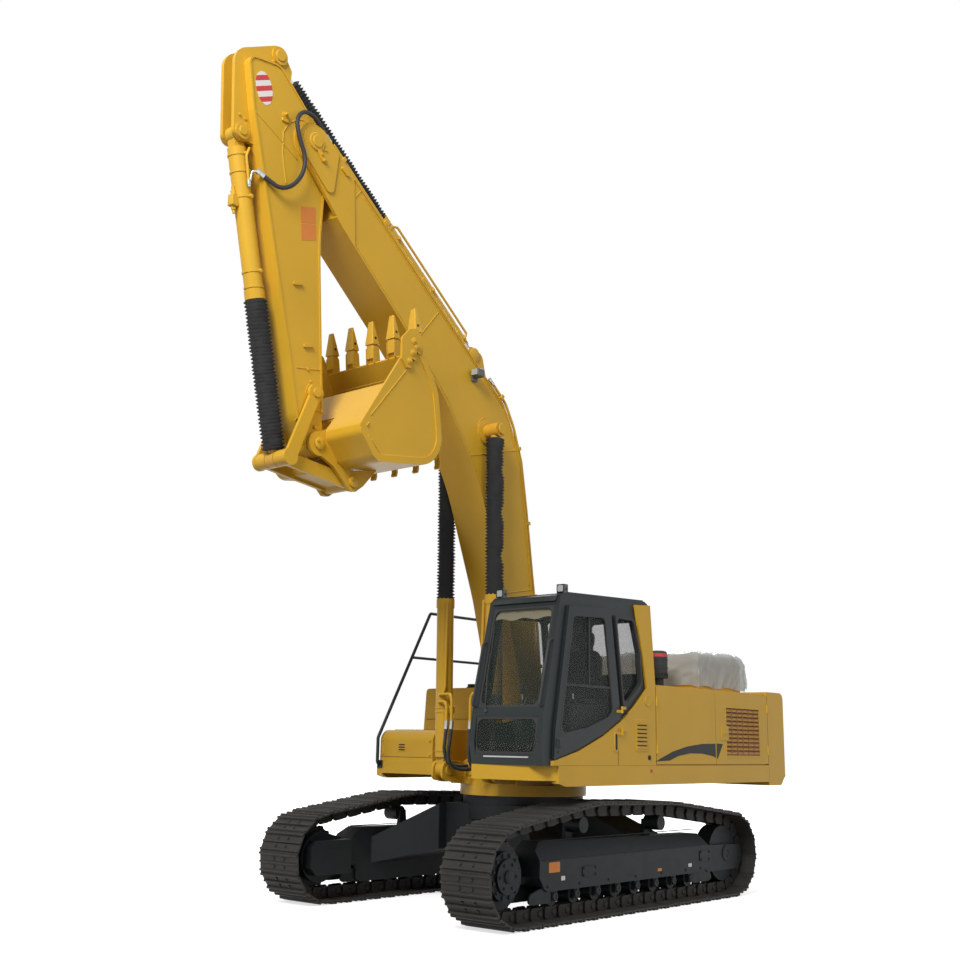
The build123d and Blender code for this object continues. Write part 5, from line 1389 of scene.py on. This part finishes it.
def front_x(z):
    """X of the cab's front skin at a height."""
    for (x0, z0), (x1, z1) in (((1.5, 1.476), (1.535, 1.69)), ((1.535, 1.69), (1.5, 2.000)),
                               ((1.5, 2.000), (1.23, 3.145))):
        if z <= z1:
            break
    return x0 + (x1 - x0) * (z - z0) / (z1 - z0)


def roof_z(x):
    return 3.205 + (1.16 - x) * 0.055 / 1.49


def rim(bm, pts, wide, r, lo, hi, way="Y", lean=None):
    """A closed seal inside this outline, square outside and with round inner corners."""
    n = len(pts)
    turn = sum(pts[i - 1][0] * pts[i][1] - pts[i][0] * pts[i - 1][1] for i in range(n))
    s = 1 if turn > 0 else -1
    inner = []
    for i in range(n):
        a, b, c = Vector(pts[i - 1]), Vector(pts[i]), Vector(pts[(i + 1) % n])
        d1, d2 = (b - a).normalized(), (c - b).normalized()
        m = Vector((-(d1 + d2).y, (d1 + d2).x)).normalized() * s
        inner.append(b + m * wide / max(0.35, m.dot(Vector((-d1.y, d1.x)) * s)))
    out_ring = rounded([(p[0], p[1], 0.003) for p in pts])
    in_ring = rounded([(p.x, p.y, r) for p in inner])
    shift = lean or (lambda z: 0)
    mid = [((a[0] + b[0]) / 2, (a[1] + b[1]) / 2) for a, b in zip(out_ring, in_ring)]
    rings = [[bm.verts.new(WAYS[way](p, w + shift(p[1]))) for p in ring] for ring, w in
             ((out_ring, lo), (out_ring, hi - 0.002), (mid, hi), (in_ring, hi - 0.003), (in_ring, lo))]
    skin(bm, rings + rings[:1], False)


def add_cab():
    bm = bmesh.new()
    rim(bm, box_pts(0.58, 1.383, 2.04, 3.08), 0.026, 0.075, -0.022, -0.003, "X", front_x)
    rim(bm, box_pts(0.58, 1.383, 1.58, 1.95), 0.026, 0.06, -0.022, -0.003, "X", front_x)
    rim(bm, QUARTER, 0.024, 0.055, 1.428, 1.4835)
    rim(bm, QUARTER, 0.024, 0.055, 0.519, 0.537)
    rim(bm, RIGHT_WIN, 0.026, 0.06, 0.519, 0.537)
    rim(bm, box_pts(0.625, 1.338, 2.45, 3.07), 0.024, 0.05, -0.016, 0.012, "X",
        lambda z: -0.5 + (z - 2.35) * 0.09 / 0.87)
    piece("window_seals", bm, RUBBER, "upper", 40)
    bm = bmesh.new()
    rim(bm, DOOR_GLASS, 0.024, 0.06, 1.466, 1.485)
    # the two panes of the door slide in a rail
    slab(bm, [(0.35, 2.265), (1.185, 2.265), (1.181, 2.287), (0.353, 2.287)], 1.466, 1.476, "Y", 0.001)
    slab(bm, box_pts(0.752, 0.77, 2.287, 3.005), 1.466, 1.475, "Y", 0.001)
    piece("door_seals", bm, RUBBER, "cab_door", 40)
    # handle with its dish and lock button, and two hinges
    bm = bmesh.new()
    slab(bm, box_pts(1.268, 1.328, 1.64, 1.745, 0.018), 1.48, 1.4865, "Y", 0.002)
    piece("handle_dish", bm, TRIM, "cab_door")
    bm = bmesh.new()
    pipe(bm, bend([(1.298, 1.484, 1.658), (1.298, 1.506, 1.662), (1.298, 1.506, 1.725), (1.298, 1.484, 1.729)],
                  0.012), 0.0075, 12)
    lathe(bm, (1.298, 1.486, 1.61), (0, 1, 0), boss(0.012, 0.004, 0.006, 0.009, 0.002), 18)
    piece("door_handle", bm, TRIM, "cab_door", 50)
    bm, fixed = bmesh.new(), bmesh.new()
    for z in (1.79, 2.02):
        lathe(bm, (0.2, 1.496, z), (0, 0, 1), band(0.004, 0.0125, 0.034), 18)
        slab(bm, box_pts(0.205, 0.285, z + 0.002, z + 0.032, 0.006), 1.482, 1.493, "Y", 0.002)
        lathe(fixed, (0.2, 1.496, z + 0.036), (0, 0, 1), band(0.004, 0.0125, 0.034), 18)
        slab(fixed, box_pts(0.115, 0.195, z + 0.038, z + 0.068, 0.006), 1.479, 1.493, "Y", 0.002)
    piece("door_hinge_leaves", bm, YELLOW, "cab_door", 40)
    piece("pillar_hinge_leaves", fixed, YELLOW, "upper", 40)
    # roof: visor, hatch and the gutter along its sides
    bm = bmesh.new()
    slab(bm, [(1.15, 3.201, 0.004), (1.225, 3.176, 0.012), (1.262, 3.12, 0.006), (1.25, 3.116, 0.003),
              (1.216, 3.156, 0.01), (1.15, 3.18, 0.003)], 0.56, 1.4, "Y", 0.004)
    slab(bm, [(0.1, roof_z(0.1) - 0.004, 0.002), (0.8, roof_z(0.8) - 0.004, 0.002),
              (0.79, roof_z(0.8) + 0.024, 0.012), (0.11, roof_z(0.1) + 0.024, 0.012)], 0.68, 1.28, "Y", 0.006)
    for y in (0.522, 1.441):
        slab(bm, [(1.1, roof_z(1.1) - 0.012, 0.003), (1.1, roof_z(1.1) + 0.012, 0.003),
                  (-0.3, roof_z(-0.3) + 0.012, 0.003), (-0.3, roof_z(-0.3) - 0.012, 0.003)], y - 0.009, y + 0.009,
             "Y", 0.003)
    piece("roof_pressings", bm, CHARCOAL, "upper", 40)
    rows = []
    for y in LAMP_YS:
        rows.append((box_pts(y - 0.037, y + 0.037, 3.222, 3.29, 0.01), 1.1495, 1.1545, "X"))
    slabs("lamp_glasses", rows, LENS, "upper", 0.002)
    bm = bmesh.new()
    for y in LAMP_YS:
        rim(bm, box_pts(y - 0.046, y + 0.046, 3.213, 3.299), 0.01, 0.012, 1.148, 1.158, "X")
        slab(bm, box_pts(y - 0.028, y + 0.028, 3.19, 3.214, 0.004), 1.075, 1.15, "X", 0.003)
        for k in (-1, 1):
            lathe(bm, (1.112, y + k * 0.044, 3.25), (0, k, 0), boss(0.012, 0.006, 0.008, 0.009, 0.002), 14)
    piece("lamp_rims", bm, BLACK, "upper", 40)
    # sill strip under the windscreen
    slabs("sill_strip", [(box_pts(0.69, 1.27, 1.548, 1.562, 0.003), front_x(1.555) - 0.002, front_x(1.555) + 0.005,
                          "X")], STEEL, "upper", 0.001)
    # wiper: spindle, arm and blade
    bm = bmesh.new()
    at = (front_x(2.005) - 0.004, 0.7, 2.005)
    lathe(bm, at, (1, 0, 0), boss(0.022, 0.016, 0.022, 0.016, 0.003), 20)
    pipe(bm, [(at[0] + 0.014, 0.7, 2.005), (front_x(2.35) + 0.016, 0.655, 2.35), (front_x(2.6) + 0.01, 0.64, 2.6)],
         0.0055, 8)
    piece("wiper_arm", bm, TRIM, "upper", 50)
    bm = bmesh.new()
    path = [(front_x(z) - 0.006, y, z) for y, z in ((0.652, 2.3), (0.64, 2.5), (0.632, 2.7), (0.622, 2.9))]
    pipe(bm, path, 0.0062, 8)
    piece("wiper_blade", bm, RUBBER, "upper", 50)
    # grab bars on both corner posts
    for k, y in ((1, 1.416), (-1, 0.548)):
        x0, x1 = front_x(2.05), front_x(2.72)
        tube("grab_bar_" + ("left" if k > 0 else "right"), [(x0 - 0.004, y, 2.05), (x0 + 0.05, y, 2.065),
            (x1 + 0.05, y, 2.7), (x1 - 0.004, y, 2.72)], 0.011, TRIM, "upper", 0.03, 12)
    # sun shade behind the glass, and its roller
    bm = bmesh.new()
    n = 24
    rows = []
    for i in range(n + 1):
        t = i / n
        y = 0.6 + 0.765 * t
        ring = []
        for z, back in ((3.085, 0.034), (3.02, 0.04), (2.955 + 0.012 * math.sin(5 * math.pi * t), 0.034)):
            ring.append(bm.verts.new((front_x(z) - back + 0.003 * math.sin(9 * math.pi * t), y, z)))
        rows.append(ring)
    for a, b in zip(rows, rows[1:]):
        for j in range(2):
            bm.faces.new((a[j], b[j], b[j + 1], a[j + 1]))
    bmesh.ops.solidify(bm, geom=bm.faces[:], thickness=0.003)
    piece("sun_shade", bm, SHADE, "upper", 60)
    tube("shade_roller", [(front_x(3.085) - 0.046, 0.575, 3.088), (front_x(3.085) - 0.046, 1.388, 3.088)], 0.014,
         TRIM, "upper", 0, 12)


def cushion(name, lo, hi, mat, square=5.0, crown=0.03, lean=0.0, pleats=()):
    """A closed padded form: full in the middle, pinched at its welt, creased along the pleats (across Y)."""
    bm = bmesh.new()
    bmesh.ops.create_cube(bm, size=2)
    bmesh.ops.subdivide_edges(bm, edges=bm.edges[:], cuts=11, use_grid_fill=True)
    c, h = (Vector(lo) + Vector(hi)) / 2, (Vector(hi) - Vector(lo)) / 2
    thin = min(range(3), key=lambda i: h[i])
    for v in bm.verts:
        p = v.co
        p = p / sum(abs(w) ** square for w in p) ** (1 / square)
        q = Vector((p.x * h.x, p.y * h.y, p.z * h.z))
        others = [p[i] for i in range(3) if i != thin]
        q[thin] += crown * p[thin] * max(0, (1 - others[0] ** 2) * (1 - others[1] ** 2))
        grip = 1 - 0.03 * math.exp(-(p[thin] / 0.1) ** 2)
        q = Vector([w * (grip if i != thin else 1) for i, w in enumerate(q)])
        for y in pleats:
            q[thin] -= 0.006 * math.exp(-((p.y - y) / 0.035) ** 2) * (1 if p[thin] > 0 else -1)
        q.x += lean * q.z
        v.co = c + q
    obj = piece(name, bm, mat, "upper", 60)
    return obj


def add_interior():
    # pedestal, suspension boot, pan and slide rails stand for the seat's solids
    bm = bmesh.new()
    slab(bm, box_pts(0.25, 1.000, 0.7, 1.26, 0.04), 1.5205, 1.56, "Z", 0.006)
    slab(bm, box_pts(0.3, 0.88, 0.73, 1.23, 0.03), 1.558, 1.69, "Z", 0.012)
    for i in range(6):
        z = 1.69 + 0.026 * i
        slab(bm, box_pts(0.36, 0.8, 0.76, 1.2, 0.03), z, z + 0.026, "Z", 0.009)
    slab(bm, box_pts(0.32, 0.83, 0.72, 1.24, 0.03), 1.845, 1.88, "Z", 0.008)
    for y in (0.6, 1.27):
        slab(bm, [(0.3, 1.52, 0.01), (0.86, 1.52, 0.03), (0.95, 1.9, 0.05), (0.95, 2.06, 0.05), (0.86, 2.1, 0.04),
                  (0.3, 2.1, 0.03)], y, y + 0.09, "Y", 0.012)
    slab(bm, [(0.145, 1.88, 0.01), (0.215, 1.88, 0.01), (0.165, 2.64, 0.03), (0.105, 2.64, 0.03)], 0.78, 1.18, "Y",
         0.012)
    for y in (0.92, 1.04):
        slab(bm, [(0.125, 2.6), (0.14, 2.6), (0.135, 2.78), (0.12, 2.78)], y - 0.008, y + 0.008, "Y", 0.002)
    # heater duct and shelf behind the seat
    slab(bm, [(-0.4, 1.52, 0.01), (0.02, 1.52, 0.02), (0.02, 2.2, 0.05), (-0.05, 2.28, 0.04), (-0.44, 2.3, 0.02)],
         0.575, 1.385, "Y", 0.01)
    body = piece("seat_frame", bm, TRIM, "upper", 40)
    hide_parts("cab_interior")
    cushion("seat_cushion", (0.315, 0.735, 1.875), (0.84, 1.225, 2.000), SEAT_CLOTH, 5, 0.022, 0.0,
            (-0.55, 0.55))
    cushion("seat_back", (0.15, 0.75, 1.985), (0.28, 1.21, 2.7), SEAT_CLOTH, 5, 0.022, -0.085, (-0.6, 0.6))
    cushion("head_rest", (0.115, 0.86, 2.73), (0.205, 1.1, 2.9), SEAT_CLOTH, 4, 0.012, -0.05)
    for y, n in ((0.645, "right"), (1.315, "left")):
        cushion("arm_rest_" + n, (0.33, y - 0.04, 2.095), (0.68, y + 0.04, 2.15), SEAT_CLOTH, 5, 0.006)
        rows = [((0.83, y, 2.08 + 0.013 * i), (0, 0, 1), [(0, 0.042 - 0.005 * i), (0.007, 0.045 - 0.005 * i),
            (0.014, 0.04 - 0.005 * i)]) for i in range(5)]
        discs("stick_boot_" + n, rows, RUBBER, "upper", 60)
        tube("stick_" + n, [(0.83, y, 2.12), (0.836, y, 2.215)], 0.008, STEEL, "upper", 0, 10)
        bm = bmesh.new()
        lathe(bm, (0.836, y, 2.2), (0.05, 0, 1), [(0, 0.006), (0.0, 0.017), (0.02, 0.021), (0.05, 0.017),
                                                  (0.085, 0.021), (0.11, 0.023), (0.122, 0.017), (0.126, 0.004)], 20)
        piece("stick_grip_" + n, bm, TRIM, "upper", 50)
    # travel levers and pedals
    bm, pads = bmesh.new(), bmesh.new()
    for y in (0.9, 1.06):
        pipe(bm, bend([(1.18, y, 1.52), (1.2, y, 1.64), (1.15, y, 1.98), (1.12, y, 2.06)], 0.05), 0.009, 10)
        lathe(pads, (1.118, y, 2.055), (-0.4, 0, 1), [(0, 0.004), (0.0, 0.015), (0.02, 0.02), (0.09, 0.018),
            (0.105, 0.012), (0.108, 0.003)], 16)
        slab(pads, [(1.205, 1.56, 0.004), (1.3, 1.64, 0.006), (1.292, 1.65, 0.004), (1.197, 1.57, 0.004)], y - 0.045,
             y + 0.045, "Y", 0.003)
        for i in range(4):
            q = 0.012 + 0.024 * i
            slab(pads, [(1.197 + q * 0.77, 1.571 + q * 0.64), (1.205 + q * 0.77, 1.578 + q * 0.64),
                        (1.199 + q * 0.77, 1.585 + q * 0.64), (1.191 + q * 0.77, 1.578 + q * 0.64)], y - 0.04,
                 y + 0.04, "Y")
    piece("travel_levers", bm, TRIM, "upper", 50)
    piece("lever_grips", pads, RUBBER, "upper", 40)
    # gauge pod at the right corner post, floor mat
    bm = bmesh.new()
    slab(bm, [(1.255, 2.02, 0.02), (1.33, 2.01, 0.02), (1.31, 2.18, 0.03), (1.245, 2.19, 0.03)], 0.565, 0.7, "Y",
         0.012)
    slab(bm, [(1.285, 1.54, 0.01), (1.325, 1.54, 0.01), (1.32, 2.03, 0.01), (1.29, 2.03, 0.01)], 0.6, 0.66, "Y",
         0.006)
    piece("gauge_pod", bm, TRIM, "upper", 40)
    rows = [(box_pts(0.575, 0.69, 2.04, 2.165, 0.01), 1.2395, 1.2445, "X")]
    slabs("gauge_face", rows, LENS, "upper", 0.001)
    rows = [(box_pts(1.02, 1.44, 0.6, 1.36, 0.04), 1.519, 1.528, "Z")]
    for i in range(12):
        rows.append((box_pts(1.05, 1.41, 0.63 + 0.06 * i, 0.645 + 0.06 * i), 1.527, 1.532, "Z"))
    slabs("floor_mat", rows, RUBBER, "upper", 0.0)


# undercarriage
def add_under():
    hub, idler_x = (WHEEL_X, WHEEL_Z), -WHEEL_X
    heads, small, rows = [], [], []
    for k in (-1, 1):
        heads += outward(k, TRACK_Y + 0.12, *circle(hub, 0.192, 12, 0.5))
        small += outward(k, TRACK_Y + 0.15, *circle(hub, 0.118, 6))
        rows.append(((WHEEL_X, k * (TRACK_Y + 0.149), WHEEL_Z), (0, k, 0),
                     [(0, 0.06), (0.012, 0.06), (0.02, 0.05), (0.024, 0.03), (0.024, 0.003)]))
        rows.append(((idler_x, k * (TRACK_Y + 0.144), WHEEL_Z), (0, k, 0),
                     [(0, 0.09), (0.01, 0.09), (0.016, 0.08), (0.016, 0.045), (0.008, 0.04), (0.008, 0.004)]))
        for x in ROLLER_XS:
            rows.append(((x, k * (TRACK_Y + 0.133), 0.246), (0, k, 0),
                         [(0, 0.042), (0.012, 0.042), (0.018, 0.036), (0.018, 0.018), (0.012, 0.014),
                          (0.012, 0.003)]))
    bolts("hub_bolts", heads, 0.017, BLACK, "undercarriage")
    bolts("hub_cover_bolts", small, 0.012, BLACK, "undercarriage")
    discs("roller_caps", rows, BLACK, "undercarriage")
    # sprocket teeth, cut as wedges round the disc and kept clear of the chain
    bm = bmesh.new()
    wedge = [(-0.03, 0.0), (0.03, 0.0), (0.014, 0.03, 0.008), (-0.014, 0.03, 0.008)]
    slab(bm, wedge, -0.03, 0.03, "Y", 0.004)
    places = []
    for k in (-1, 1):
        for i, (x, z) in enumerate(circle(hub, 0.302, 19)):
            m = Matrix.Rotation(-2 * math.pi * i / 19 + math.pi / 2, 3, "Y")
            places.append(((x, k * TRACK_Y, z), m.to_euler(), 1.0))
    set_rows("sprocket_teeth", bm, places, CHAIN, "undercarriage")
    # cover plates of the track frames and their bolts
    side, small = [], []
    for k in (-1, 1):
        small += outward(k, FRAME_Y, *((x, 0.345) for x in (1.42, 0.9, 0.4, -0.1, -0.6, -1.1, -1.42)))
        for pts in (box_pts(-1.62, -1.4, 0.415, 0.535, 0.02), box_pts(0.62, 0.86, 0.4, 0.5, 0.02)):
            side.append((pts, *span(k, FRAME_Y, FRAME_Y + 0.008), "Y"))
        small += outward(k, FRAME_Y + 0.008, *((x, z) for z in (0.435, 0.515) for x in (-1.6, -1.42)),
                         *((x, z) for z in (0.418, 0.482) for x in (0.64, 0.84)))
    # guards that keep the chain on the rollers beside the sprocket and the idler
    for k in (-1, 1):
        for s in (-1, 1):
            lo, hi = sorted((k * TRACK_Y + s * 0.112, k * 1.295 + s * 0.134))
            side.append(([(1.345, 0.33), (1.52, 0.33), (1.66, 0.29, 0.03), (1.7, 0.215, 0.03), (1.64, 0.19, 0.02),
                          (1.345, 0.19)], lo, hi, "Y"))
            side.append(([(-1.285, 0.33), (-1.285, 0.19), (-1.62, 0.19, 0.02), (-1.7, 0.215, 0.03),
                          (-1.66, 0.29, 0.03), (-1.52, 0.33)], lo, hi, "Y"))
    slabs("frame_covers", side, BLACK, "undercarriage", 0.002)
    bolts("frame_bolts", small, 0.01, BLACK, "undercarriage")
    paths = []
    for k in (-1, 1):
        paths.append([(1.5, k * (FRAME_Y + 0.002), 0.59), (-1.5, k * (FRAME_Y + 0.002), 0.59)])
        paths.append([(1.4, k * 1.341, 0.762), (-1.45, k * 1.341, 0.762)])
    welds("frame_seams", paths, 0.005, "undercarriage", BLACK)
    y = FRAME_Y
    slabs("orange_plates", [(box_pts(1.232, 1.408, 0.472, 0.568, 0.006), y, y + 0.002, "Y"),
                            (box_pts(-0.6, -0.52, 0.365, 0.395, 0.004), y, y + 0.002, "Y")], ORANGE, "undercarriage",
          0)
    slabs("white_plates", [(box_pts(1.15, 1.21, 0.39, 0.43, 0.004), y, y + 0.002, "Y"),
                           (box_pts(-1.225, -1.155, 0.372, 0.408, 0.004), y, y + 0.002, "Y")], WHITE, "undercarriage",
          0)


add_tracks()
add_boots()

add_arm()
add_arm_cylinders()
add_boom()
add_boom_cylinders()
add_foot_hoses()
add_s_hose()
add_bucket()
add_teeth()
add_side()
add_counterweight()
add_deck()
add_film()
add_cab()
add_interior()
add_under()
